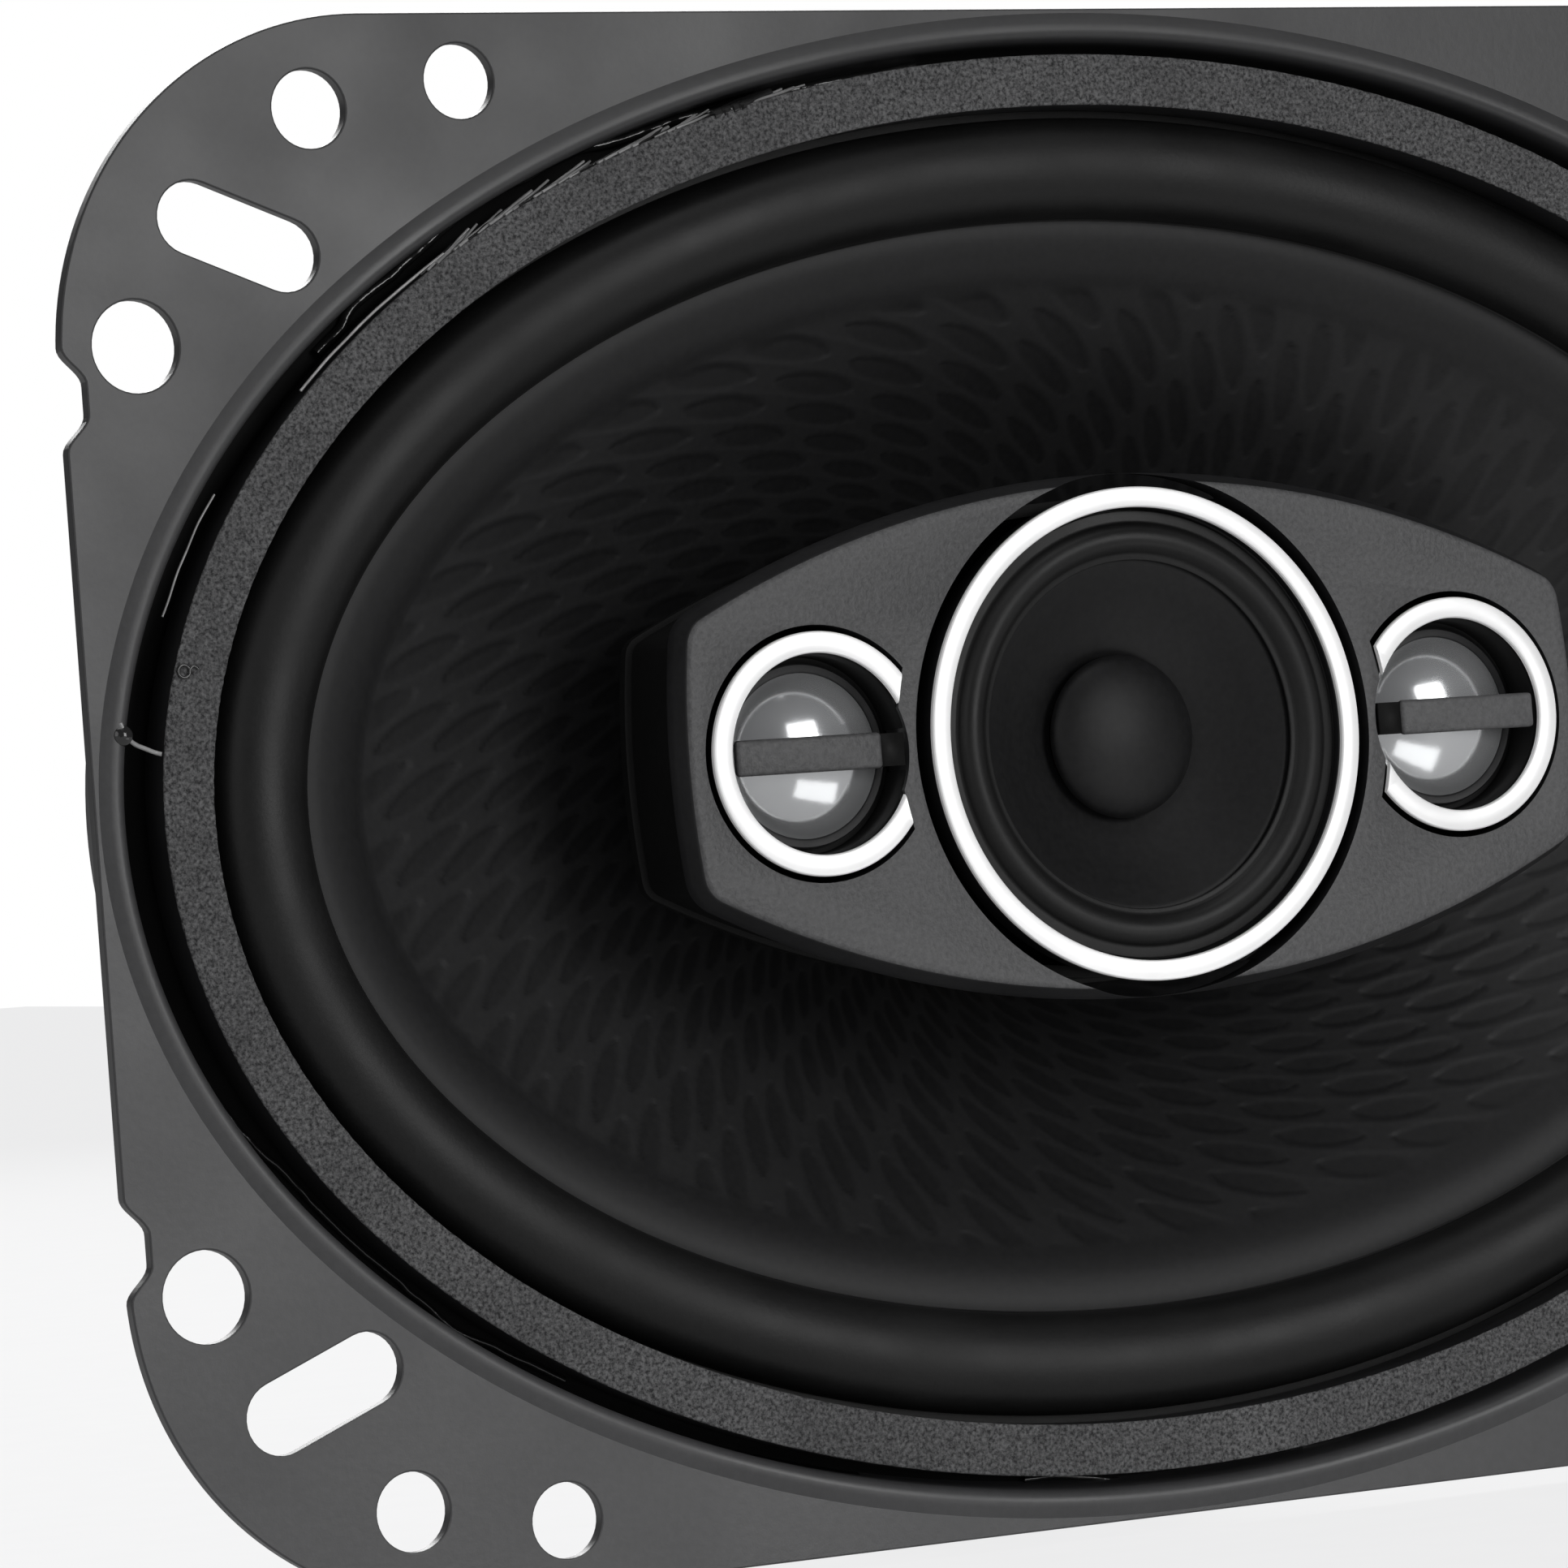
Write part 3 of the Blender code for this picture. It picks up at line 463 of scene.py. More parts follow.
chrome = metal("trim_chrome", (0.98, 0.98, 0.98), 0.28, 0.06, 1.2, 0.001, bare=0.15)
mirror_film = metal("metallised_dome_film", (0.60, 0.61, 0.62), 0.10, 0.06, 0.7, 0.006, bare=0.75)
zinc = turned_metal("zinc_plated_steel", (0.42, 0.41, 0.38), 0.30, 0.5)
bright_steel = metal("bright_screw_steel", (0.55, 0.55, 0.54), 0.22, 0.10, 0.4, 0.003)
brass = metal("terminal_brass", (0.72, 0.53, 0.24), 0.24, 0.12, 0.5, 0.003, (0.3, 1.0, 1.0))
tinned = metal("tinned_solder", (0.58, 0.58, 0.58), 0.26, 0.15, 0.4, 0.010)
wire_mix = Surface("enamelled_copper_wire", 0.22, 1.0)
turns = wire_mix.noise(0.4, 3.0, 0.6, (1.0, 0.1, 1.0))
wire_mix.tones(turns, (0.42, 0.13, 0.045), (0.62, 0.24, 0.09))
wire_mix.relief(turns, 0.004)
copper = wire_mix.material
print("surfaces so far:", len(bpy.data.materials))

# %% [markdown]
# The cone's plastic takes painted shade from the leaves that are modelled later: each point
# of the cone carries a number for it, so each leaf's dish is painted darker and the creases
# between paler, for the light on the relief. Foam is the opposite of metal: its surface is all
# small holes. The spider is a coarse cloth stiffened with resin, so its recipe is a weave.

# %% Cone plastic, foam and cloth
cone_mix = Surface("moulded_cone_plastic", 0.46, 0.0, 0.20)
# The leaf number paints shade: darker in each leaf's dish, paler on the creases.
leaf_shade = cone_mix.add("Attribute", {"attribute_name": "leaf_painted_shade"})
mould = cone_mix.noise(0.3, 4.0)
both = cone_mix.work_out("MULTIPLY_ADD", leaf_shade.outputs["Fac"], 0.75,
                       cone_mix.spread(mould, 0.3, 0.7, 0.0, 0.25))
cone_mix.tones(both, (0.0045, 0.0045, 0.0048), (0.0175, 0.0175, 0.0180))
cone_mix.relief(mould, 0.008)
cone_plastic = cone_mix.material

foam_mix = Surface("gasket_foam", 0.82, 0.0, 0.25)
cells = foam_mix.add("TexVoronoi", Scale=1.0 / (0.34 * MM), Vector=foam_mix.where)
fine = foam_mix.noise(0.15, 3.0, 0.7)
slow = foam_mix.noise(6.0, 3.0)
speck = foam_mix.work_out("MULTIPLY_ADD", foam_mix.spread(cells.outputs["Distance"], 0.1, 0.75),
                        -0.45, foam_mix.spread(fine, 0.32, 0.62, 0.25, 1.25))
toned = foam_mix.work_out("MULTIPLY", speck, foam_mix.spread(slow, 0.3, 0.7, 0.75, 1.1))
foam_mix.tones(toned, (0.018, 0.018, 0.019), (0.130, 0.130, 0.132))
foam_mix.relief(speck, 0.07, 0.8)
foam = foam_mix.material

cloth_mix = Surface("spider_cloth", 0.80, 0.0, 0.2)
warp = cloth_mix.wave("BANDS", "X", 0.45)
weft = cloth_mix.wave("BANDS", "Z", 0.45)
weave = cloth_mix.work_out("MAXIMUM", warp, weft)
cloth_mix.tones(weave, (0.16, 0.10, 0.035), (0.46, 0.33, 0.14))
cloth_mix.relief(weave, 0.06)
spider_cloth = cloth_mix.material
print("surfaces so far:", len(bpy.data.materials))

# %% [markdown]
# Contact glue dries black and glossy. Its thin pulled strings are painted pale all along, a
# painted highlight for the glints they show where they catch the light. The floor is matt
# paper that glows by itself: it stays evenly pale under the speaker and throws soft light up
# from below.

# %% Glue and floor
def glue_finish(name, roughness, dark, light, depth_mm):
    """Dried glue with slow ripples."""
    mix = Surface(name, roughness, 0.0, 0.6)
    ripples = mix.noise(0.8, 3.0)
    mix.tones(ripples, dark, light)
    mix.relief(ripples, depth_mm)
    return mix.material


glue = glue_finish("clear_dark_glue", 0.10, (0.006, 0.006, 0.006), (0.022, 0.022, 0.022), 0.10)
# Painted highlight: the thin strings are painted pale all along for the glints they catch.
glue_with_painted_highlight = glue_finish("glue_string_painted_highlight", 0.22, (0.10, 0.10, 0.10), (0.42, 0.42, 0.42), 0.05)
paper_mix = Surface("pale_floor", 0.9, 0.0, 0.1)
paper_mix.feed(paper_mix.shader, "Base Color", (0.03, 0.03, 0.03, 1.0))
fibres = paper_mix.noise(3.0, 3.0)
paper_mix.tones(fibres, (0.815, 0.815, 0.82), (0.835, 0.835, 0.84), "Emission Color")
seen = paper_mix.add("LightPath").outputs["Is Camera Ray"]
paper_mix.feed(paper_mix.shader, "Emission Strength", paper_mix.spread(seen, 0.0, 1.0, 0.60, 1.0))
floor_paper = paper_mix.material
print("surfaces in all:", len(bpy.data.materials))

# %% [markdown]
# ## The basket
#
# The basket is one pressing of 1 mm steel: a flat plate with screw holes, a soft bead
# round the oval opening, a step down to a ledge that carries the roll, a bowl with fourteen
# windows, and a floor that the magnet is riveted to. The plate is cut as a flat outline
# with its holes, like the blank it is pressed from; the bead, step and bowl are one loft
# with its true sheet thickness, and the windows are then punched through it.

# %% The plate, with its three patterns of holes
HALF_X, HALF_Z, CORNER = 76.0, 51.7, 22.4
SHEET = 1.0
OPEN_X, OPEN_Z = 75.0, 50.7
NOTCH_Z, NOTCH_HALF, NOTCH_DEPTH = 27.1, 3.4, 1.6
CORNER_START = 30.6


def arc(cx, cz, radius, start, end, steps):
    """Points of an arc in millimetres, angles in degrees."""
    out = []
    for s in range(steps + 1):
        t = math.radians(start + (end - start) * s / steps)
        out.append((cx + radius * math.cos(t), cz + radius * math.sin(t)))
    return out


def notched_side():
    """The plate's right-hand side with its two shallow S-lipped notches, going up."""
    out = []
    for middle in (-NOTCH_Z, NOTCH_Z):
        for s in range(25):
            u = -1.0 + 2.0 * s / 24.0
            depth = NOTCH_DEPTH * (0.5 + 0.5 * math.cos(math.pi * max(0.0, abs(u) - 0.28) / 0.72))
            z = middle + NOTCH_HALF * u
            edge_x = HALF_X
            over = abs(z) - (HALF_Z - CORNER)
            if over > 0.0:
                edge_x = HALF_X - CORNER + math.sqrt(max(CORNER ** 2 - over ** 2, 0.0))
            out.append((edge_x - depth, z))
    return out


def plate_outline():
    """The plate's edge, anticlockwise seen from +Y up."""
    cx, cz = HALF_X - CORNER, HALF_Z - CORNER
    right = notched_side()
    left = [(-x, z) for x, z in reversed(right)]
    top_right = [p for p in arc(cx, cz, CORNER, 0.0, 90.0, 40) if p[1] > CORNER_START]
    top_left = [(-x, z) for x, z in reversed(top_right)]
    bottom_left = [(x, -z) for x, z in reversed(top_left)]
    bottom_right = [(x, -z) for x, z in reversed(top_right)]
    return right + top_right + top_left + left + bottom_left + bottom_right


def slot_outline(cx, cz, half, radius, tilt):
    """A straight slot with round ends."""
    c, s = math.cos(math.radians(tilt)), math.sin(math.radians(tilt))
    reach = half - radius
    out = []
    for x, z in arc(reach, 0.0, radius, -90.0, 90.0, 16) + arc(-reach, 0.0, radius, 90.0, 270.0, 16):
        out.append((cx + x * c - z * s, cz + x * s + z * c))
    return out


def ring_outline(cx, cz, a, b, steps=40):
    """A closed oval outline."""
    return [(cx + a * math.cos(2 * math.pi * k / steps), cz + b * math.sin(2 * math.pi * k / steps))
            for k in range(steps)]


def from_curve(name, curve, place, angle):
    """Turn a curve into a mesh piece that stands in its place."""
    drawn = new_object(name, curve)
    mesh = final_mesh(drawn)
    mesh.transform(place)
    bpy.data.objects.remove(drawn, do_unlink=True)
    return tidy_mesh(new_object(name, mesh), angle)


def flat_cut(name, outlines, y_front, y_back, edge):
    """A sheet cut to an outline with holes, with rounded edges of the given size."""
    curve = bpy.data.curves.new(name, "CURVE")
    curve.dimensions = "2D"
    curve.fill_mode = "BOTH"
    curve.extrude = ((y_back - y_front) / 2.0 - edge) * MM
    curve.bevel_depth = edge * MM
    curve.bevel_resolution = 2
    curve.offset = -edge * MM
    for outline in outlines:
        spline = curve.splines.new("POLY")
        spline.points.add(len(outline) - 1)
        for point, (x, z) in zip(spline.points, outline):
            point.co = (x * MM, z * MM, 0.0, 1.0)
        spline.use_cyclic_u = True
    upright = Matrix.Rotation(math.radians(90.0), 4, "X")
    place = Matrix.Translation((0.0, (y_front + y_back) / 2.0 * MM, 0.0)) @ upright
    return from_curve(name, curve, place, 12.0)


holes = []
for sx in (1.0, -1.0):
    for sz in (1.0, -1.0):
        holes.append(ring_outline(sx * 70.8, sz * 30.4, 3.0, 3.0))
        holes.append(ring_outline(sx * 57.5, sz * 45.5, 2.6, 2.6))
        holes.append(ring_outline(sx * 46.6, sz * 47.2, 2.5, 2.5))
        holes.append(slot_outline(sx * 63.1, sz * 37.3, 5.8, 2.4, 22.0 * sx * sz))
opening = ring_outline(0.0, 0.0, OPEN_X, OPEN_Z, 280)
plate = flat_cut("basket_plate", [plate_outline(), opening] + holes, -SHEET, 0.0, 0.12)
print("plate:", len(holes), "holes,", len(plate.data.vertices), "points")

# %% [markdown]
# The bead, step, ledge and bowl are drawn as one cross-section whose corners are all
# rounded, because a press can't draw a sharp corner. Each line of the cross-section is an
# oval ring; the long and the short half-axis shrink together until the bowl ends round.

# %% Bead, step, ledge and bowl
front = [(75.85, 51.55, -0.95), (75.5, 51.2, -1.06), (75.0, 50.7, -1.2), (74.6, 50.3, -1.28),
         (74.3, 50.0, -1.24), (74.05, 49.75, -1.08), (73.87, 49.57, -0.75), (73.75, 49.45, -0.2),
         (73.65, 49.35, 1.4), (73.55, 49.25, 2.8), (73.35, 49.05, 3.35), (73.0, 48.7, 3.56),
         (72.5, 48.2, 3.6), (70.0, 46.2, 3.6), (67.2, 44.45, 3.6), (66.75, 44.05, 3.68),
         (66.45, 43.8, 3.95)]
LEDGE_IN, LANDING = (66.5, 43.8, 3.6), (34.5, 34.5, 24.0)


def wall_point(share, offset=0.0):
    """Half-axes and depth on the bowl's wall; share runs from the ledge to the landing."""
    point = [lo + (hi - lo) * share for lo, hi in zip(LEDGE_IN, LANDING)]
    return (point[0] + offset, point[1] + offset, point[2] + 0.35 * offset)


front += [wall_point(s) for s in np.linspace(0.04, 0.97, 20)]
front += [(34.9, 34.9, 23.9), (34.2, 34.2, 24.0), (30.0, 30.0, 24.0), (27.5, 27.5, 24.0),
          (27.1, 27.1, 24.1), (26.9, 26.9, 24.5), (26.35, 26.35, 29.3), (26.1, 26.1, 29.8),
          (25.6, 25.6, 30.0), (14.7, 14.7, 30.0), (14.5, 14.5, 30.2)]
back = [(14.5, 14.5, 30.8), (14.7, 14.7, 31.0), (26.4, 26.4, 31.0), (27.0, 27.0, 30.8),
        (27.3, 27.3, 30.3), (27.9, 27.9, 25.6), (28.2, 28.2, 25.1), (28.8, 28.8, 25.0),
        (34.6, 34.6, 25.0), (35.3, 35.3, 24.75)]
back += [wall_point(s, 1.0) for s in np.linspace(0.97, 0.04, 12)]
back += [(67.2, 44.6, 4.55), (68.0, 45.3, 4.6), (73.3, 49.0, 4.6), (74.1, 49.8, 4.5),
         (74.55, 50.25, 4.1), (74.9, 50.6, 1.5), (75.4, 51.1, 0.0), (75.85, 51.55, -0.08)]
basket = loft("basket_bowl", [oval(a, b, y, 280) for a, b, y in front + back])

WINDOWS, WINDOW_HALF = 14, 8.57
ROUNDNESS = 0.36


def window_cutter(index):
    """A plug with rounded corners, standing square to the bowl's wall."""
    middle = (index + 0.5) * 2.0 * math.pi / WINDOWS
    rim, wide = [], math.radians(WINDOW_HALF)
    for k in range(44):
        t = 2.0 * math.pi * k / 44
        u = math.copysign(abs(math.cos(t)) ** ROUNDNESS, math.cos(t))
        v = math.copysign(abs(math.sin(t)) ** ROUNDNESS, math.sin(t))
        a, b, y = wall_point(0.51 + 0.29 * v)
        angle = middle + wide * u
        rim.append(Vector((a * math.cos(angle), y, b * math.sin(angle))))
    a, b, y = wall_point(0.51)
    along = Vector((-a * math.sin(middle), 0.0, b * math.cos(middle))).normalized()
    fall_x, fall_z, fall_y = (low - high for low, high in zip(LANDING, LEDGE_IN))
    down = Vector((fall_x * math.cos(middle), fall_y, fall_z * math.sin(middle)))
    normal = along.cross(down).normalized()
    rings = [np.array([tuple((p + normal * d) * MM) for p in rim]) for d in (-3.5, 3.5)]
    return cap_ends(loft("window_plug", rings, closed=False))


def join(objects, name):
    """Several meshes as one object, in the order given."""
    bm = bmesh.new()
    for obj in objects:
        bm.from_mesh(obj.data)
    mesh = bpy.data.meshes.new(name)
    bm.to_mesh(mesh)
    bm.free()
    for obj in objects:
        bpy.data.objects.remove(obj, do_unlink=True)
    return new_object(name, mesh)


carve(basket, [join([window_cutter(k) for k in range(WINDOWS)], "window_plugs")])
dress(plate, "basket", black_paint, "painted_steel", "basket_frame")
dress(basket, "basket", black_paint, "painted_steel")
# Painted shade: the channel beside the gasket is painted blacker than the paint, as the shade in that
# narrow recess.
repaint(basket, [deep_black_and_shade],
        lambda x, y, z: 0.1 < y < 3.75 and 1.0 < math.hypot(x / 70.4, z / 46.6) < 1.0535)
print("bowl:", WINDOWS, "windows,", len(basket.data.vertices), "points")

# %% [markdown]
# ## Gasket
#
# The foam gasket is a flat ring glued over the roll's edge: its corners are soft, and the
# die that cut it left fine radial ribs on top. Its sides and back are painted near black as
# painted shade. The ribs are moved points, not bump, because they show along the edge.

# %% Gasket
def points_of(piece):
    """A piece's points in millimetres."""
    return np.array([v.co for v in piece.data.vertices]) / MM


def move_points(piece, points):
    """Put a piece's points where they are given, in millimetres."""
    piece.data.vertices.foreach_set("co", (points * MM).ravel())


AROUND = 720
phase = np.random.default_rng(5).uniform(0.0, 6.28, 6)
t = np.arange(AROUND) * 2.0 * math.pi / AROUND
slow_wave = sum(np.sin((k * 3 + 2) * t + phase[k]) for k in range(6)) / 6.0
rings = []
for a, y in soften([(67.6, 2.5), (67.6, -0.75), (71.1, -0.75), (71.1, 2.5)], 0.16, 4):
    ring = oval(a, a - 22.5, y, AROUND)
    ring[:, 1] += 0.03 * MM * slow_wave
    rings.append(ring)
gasket = loft("foam_gasket", rings)
points = points_of(gasket)
t = np.arctan2(points[:, 2] / 46.8, points[:, 0] / 69.35)
top = np.clip((1.2 - points[:, 1]) / 1.5, 0.0, 1.0)
points[:, 1] += 0.035 * top * np.sign(np.sin(240.0 * t + 1.5 * np.sin(17.0 * t)))
move_points(gasket, points)
dress(gasket, "basket", foam, "foam", "gasket_ring")
# Painted shade: the gasket's sides and back are painted near black.
repaint(gasket, [dark_plastic_and_shade], lambda x, y, z: y > -0.62)
print("gasket:", len(gasket.data.vertices), "points")

# %% [markdown]
# ## Rubber roll
#
# The roll is a thin rubber half-tube that lets the cone travel. Here it is made in its rest
# shape and belongs to no body; its points are not bent.


def bend(piece):
    """Bake a skin's placement into its points; it is not bent between bodies."""
    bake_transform(piece)


roll_front = [(70.6, 2.78), (67.5, 2.72)]
roll_front += [(63.45 + 3.5 * math.cos(p), 2.65 - 3.05 * math.sin(p) ** 0.85)
               for p in np.linspace(0.0, math.pi, 21)]
roll_front += [(59.6, 3.0), (58.9, 3.08), (57.9, 3.1), (57.6, 3.15)]
roll_back = [(57.6, 3.3), (58.0, 3.38), (59.7, 3.38)]
roll_back += [(63.45 - 3.1 * math.cos(p), 3.1 - 3.0 * math.sin(p) ** 0.85)
              for p in np.linspace(0.0, math.pi, 13)]
roll_back += [(67.4, 3.25), (70.6, 3.28)]
ROLL_GAP = 22.35
roll = loft("rubber_roll", [oval(a, a - ROLL_GAP, y, 320) for a, y in roll_front + roll_back])
dress(roll, None, roll_rubber, "rubber", "surround")
bend(roll)
print("roll:", len(roll.data.vertices), "points")

# %% [markdown]
# ## Cone
#
# The cone is injection-moulded plastic. Its face is covered with rows of small slanted
# leaves: each is a shallow dish that slopes from one side to the other, so that one half
# catches the light. The rows follow a spiral, and the leaves shrink towards the neck. They
# are real relief, about 0.1 mm deep, pressed into a fine grid of points.

# %% Cone with its spiral of leaves
LEAVES, ROW = 88, 0.17
SWIRL = math.radians(-40.0)
LEAF_DEPTH = 0.13
SHOULDER, NECK = (55.1, 33.2, 4.3), (13.0, 13.0, 20.0)


def cone_ring(share):
    """Half-axes and depth of the cone's face; share runs from shoulder to neck."""
    a, b, y = (high + (low - high) * share for high, low in zip(SHOULDER, NECK))
    return a, b, y - 0.7 * math.sin(math.pi * share)


def leaves_at(t, size):
    """Relief (-1 to 1) and painted shade (0 to 1, dark in the dish, pale on the creases) at an angle and a
    size on the cone's face.
    """
    depth = np.log(size)
    p = LEAVES * (t + math.tan(SWIRL) * depth) / (2.0 * math.pi)
    q = depth / ROW
    column = np.floor(p)
    shift = 0.5 * np.mod(column, 2.0) + 0.06 * np.sin(column * 2.4)
    along = (np.mod(q + shift, 1.0) * 2.0 - 1.0) / 0.78
    half = 0.49 * np.maximum(1.0 - along * along, 0.0) ** 0.7
    across = (p - column - 0.5) / np.maximum(half, 1e-3)
    dish = np.clip((1.0 - np.abs(across)) * 3.0, 0.0, 1.0) * (half > 0.02)
    crease = np.clip(1.0 - np.abs(p - np.round(p)) * 9.0, 0.0, 1.0)
    height = -dish * (0.65 - 0.45 * across) + 0.25 * crease * (1.0 - dish)
    # Painted shade: the dish is darker and the crease paler, for the light on the relief.
    return height, 0.78 - 0.52 * dish + 0.10 * crease


COLUMNS, ROWS = ((1000, 150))
t = np.arange(COLUMNS) * 2.0 * math.pi / COLUMNS
rings = [oval(a, b, y, COLUMNS) for a, b, y in
         [(60.0, 37.7, 2.95), (59.95, 37.65, 2.8), (59.75, 37.45, 2.74), (58.6, 36.35, 2.86),
          (57.5, 35.3, 3.12), (56.5, 34.4, 3.5), (55.6, 33.65, 3.98)]]
tones = [np.full(COLUMNS, 0.5)] * len(rings)
for k in range(ROWS):
    share = k / (ROWS - 1)
    a, b, y = cone_ring(share)
    ring = oval(a, b, y, COLUMNS)
    size = np.hypot(a * np.cos(t), b * np.sin(t)) / 50.0
    fade = min(1.0, share / 0.03, (1.0 - share) / 0.04)
    height, tone = leaves_at(t, size)
    ring[:, 1] -= LEAF_DEPTH * MM * fade * height * (0.35 + 0.65 * size)
    rings.append(ring)
    tones.append(0.55 + (tone - 0.55) * fade)
rings += [oval(13.0, 13.0, y, COLUMNS) for y in (20.2, 20.5)]
for share in (1.0, 0.75, 0.5, 0.25, 0.0):
    a, b, y = cone_ring(share)
    rings.append(oval(a + 0.45, b + 0.45, y + 0.62, COLUMNS))
rings += [oval(a, b, y, COLUMNS) for a, b, y in ((57.9, 35.7, 3.75), (58.4, 36.1, 3.05), (60.0, 37.7, 3.0))]
tones += [np.full(COLUMNS, 0.2)] * (len(rings) - len(tones))
cone = loft("woofer_cone_skin", rings)
tone = cone.data.attributes.new("leaf_painted_shade", "FLOAT", "POINT")
tone.data.foreach_set("value", np.concatenate(tones).astype(np.float32))
dress(cone, "woofer_cone", cone_plastic, "cone_plastic", "cone")
print("cone:", len(cone.data.vertices), "points")

# %% [markdown]
# ## Spider and voice coil
#
# Behind the cone a corrugated cloth disc, the spider, keeps a paper tube wound with copper
# wire in the middle of the magnet's gap. The spider is made in its rest shape and belongs to
# no body; the tube and the wire simply go with the cone.

# %% Spider and voice coil
spider_front = [(32.4, 23.05), (31.0, 23.05)]
for k in range(1, 60):
    r = 31.0 - k * 0.28
    spider_front.append((r, 23.1 - 0.62 * math.sin((31.0 - r) / 2.35 * 2.0 * math.pi)))
spider_front = [p for p in spider_front if p[0] > 13.9] + [(13.4, 23.1), (13.0, 23.1)]
spider_back = [(r, y + 0.32) for r, y in reversed(spider_front)]
spider = turn("cloth_spider", spider_front + spider_back, 192)
dress(spider, None, spider_cloth, "spider_cloth", "spider")
points = points_of(spider)
bend(spider)

tube_line = [(12.3, 18.9), (12.7, 18.9), (12.7, 38.0), (12.3, 38.0)]
former = turn("coil_former", soften(tube_line, 0.08), 96)
dress(former, "woofer_cone", kraft_paper, "former_paper", "voice_coil_former")
TURNS, PITCH, FIRST_TURN = 22, 0.31, 30.35
wire = [(12.98, FIRST_TURN)]
for k in range(TURNS):
    for s in range(5):
        p = math.pi * s / 4.0
        wire.append((13.3 + 0.16 * math.sin(p), FIRST_TURN + PITCH * (k + s / 5.0)))
wire.append((12.98, FIRST_TURN + PITCH * TURNS))
winding = turn("coil_winding", wire, 96)
dress(winding, "woofer_cone", copper, "copper", "voice_coil_winding")
print("spider and coil made")

# %% [markdown]
# ## Motor
#
# The motor is a ferrite ring between two turned steel plates; the lower one has the pole in
# its middle. Lathe-cut edges are broken with small chamfers, while the brittle ferrite is
# a little uneven all over, which is done by pushing its points inward at random.

# %% Magnet, plates and rivets
plate_line = [(14.1, 31.3), (29.0, 31.3), (29.0, 36.3), (14.1, 36.3)]
top_plate = turn("motor_top_plate", soften(plate_line, 0.5), 128)
dress(top_plate, "basket", zinc, "plated_steel", "top_plate")
magnet_line = [(16.5, 36.6), (35.0, 36.6), (35.0, 46.6), (16.5, 46.6)]
magnet = turn("ferrite_ring", soften(magnet_line, 0.7, 3), 160)
points = points_of(magnet)
rough = np.random.default_rng(11).normal(0.0, 0.02, points.shape)
move_points(magnet, points - np.abs(rough) * np.sign(points))
dress(magnet, "basket", ferrite_stone, "ferrite", "magnet_ring")
yoke_line = [(2.4, 31.3), (11.9, 31.3), (11.9, 46.9), (29.0, 46.9), (29.0, 51.4), (4.4, 51.4),
             (4.4, 48.9), (2.4, 48.9)]
yoke = turn("motor_yoke", soften(yoke_line, 0.6), 128)
dress(yoke, "basket", zinc, "plated_steel", "yoke_and_pole")
for k in range(1, 5):
    low, high = (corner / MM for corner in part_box("basket_rivet_%d" % k))
    x, z = (low[0] + high[0]) / 2.0, (low[2] + high[2]) / 2.0
    radius, y0, y1 = high[0] - x, low[1], high[1]
    line = [(0.0, y0 + 0.05), (radius * 0.5, y0 + 0.12), (radius * 0.85, y0 + 0.35),
            (radius, y0 + 0.65), (radius, y0 + 0.9), (1.5, y0 + 0.9), (1.5, y1), (0.0, y1)]
    stake = turn("staked_rivet_%d" % k, line, 32, (x, z))
    dress(stake, "basket", zinc, "plated_steel", "basket_rivet_%d" % k)
print("motor made")

# %% [markdown]
# ## The pod
#
# The raised pod is one grained moulding, a lozenge with gently curved sides and a thin
# skirt round a narrower body. The skirt's sides are painted darker and the body behind it
# near black, as painted shade. It holds the midrange in a round bore and two dome tweeters
# in pockets at its ends. The bore and the pockets are cut out of the solid moulding,
# because that is where their thin shared walls come from.

# %% Pod housing
POD_Z = 1.6
TWEETER_X = 25.2
POD_HALF_X, POD_HALF_Z, SIDE_BEND, END_BEND = 35.0, 17.3, 74.3, 60.0


def meeting_point(c1, r1, c2, r2):
    """The upper right point where two circles cross."""
    apart = math.dist(c1, c2)
    along = (r1 * r1 - r2 * r2 + apart * apart) / (2.0 * apart)
    high = math.sqrt(r1 * r1 - along * along)
    ux, uz = (c2[0] - c1[0]) / apart, (c2[1] - c1[1]) / apart
    pair = [(c1[0] + along * ux - s * high * uz, c1[1] + along * uz + s * high * ux)
            for s in (1, -1)]
    return max(pair, key=lambda p: p[0] + p[1])


def pod_ring(y, grow):
    """The pod's lozenge, grown evenly all round, as a ring for a loft."""
    long_r, end_r, corner = SIDE_BEND + grow, END_BEND + grow, 2.2 + grow
    long_c, end_c = (0.0, POD_HALF_Z - SIDE_BEND), (POD_HALF_X - END_BEND, 0.0)
    fillet = meeting_point(long_c, long_r - corner, end_c, end_r - corner)
    end_angle = math.degrees(math.atan2(fillet[1] - end_c[1], fillet[0] - end_c[0]))
    long_angle = math.degrees(math.atan2(fillet[1] - long_c[1], fillet[0] - long_c[0]))
    quarter = arc(end_c[0], end_c[1], end_r, 0.0, end_angle, 14)
    quarter += arc(fillet[0], fillet[1], corner, end_angle, long_angle, 12)[1:]
    quarter += arc(long_c[0], long_c[1], long_r, long_angle, 90.0, 26)[1:]
    half = quarter + [(-x, z) for x, z in reversed(quarter[:-1])]
    outline = half + [(x, -z) for x, z in reversed(half[1:-1])]
    return np.array([(x, y, z + POD_Z) for x, z in outline]) * MM


shell = [(-4.0, -0.42), (-3.97, -0.2), (-3.88, -0.05), (-3.7, 0.05), (-2.9, 0.42), (-2.45, 0.62),
         (-2.25, 0.62), (-2.15, 0.5), (-2.15, -0.7), (-1.9, -0.9), (6.0, -0.9), (6.0, -1.7),
         (-1.2, -1.7)]
housing = cap_ends(loft("pod_shell", [pod_ring(y, g) for y, g in shell], closed=False))


def plug(name, radius, y0, y1, x=0.0):
    """A round cutter on the pod's centre line."""
    return turn(name, [(0.0, y0), (radius, y0), (radius, y1), (0.0, y1)], 192, (x, POD_Z))


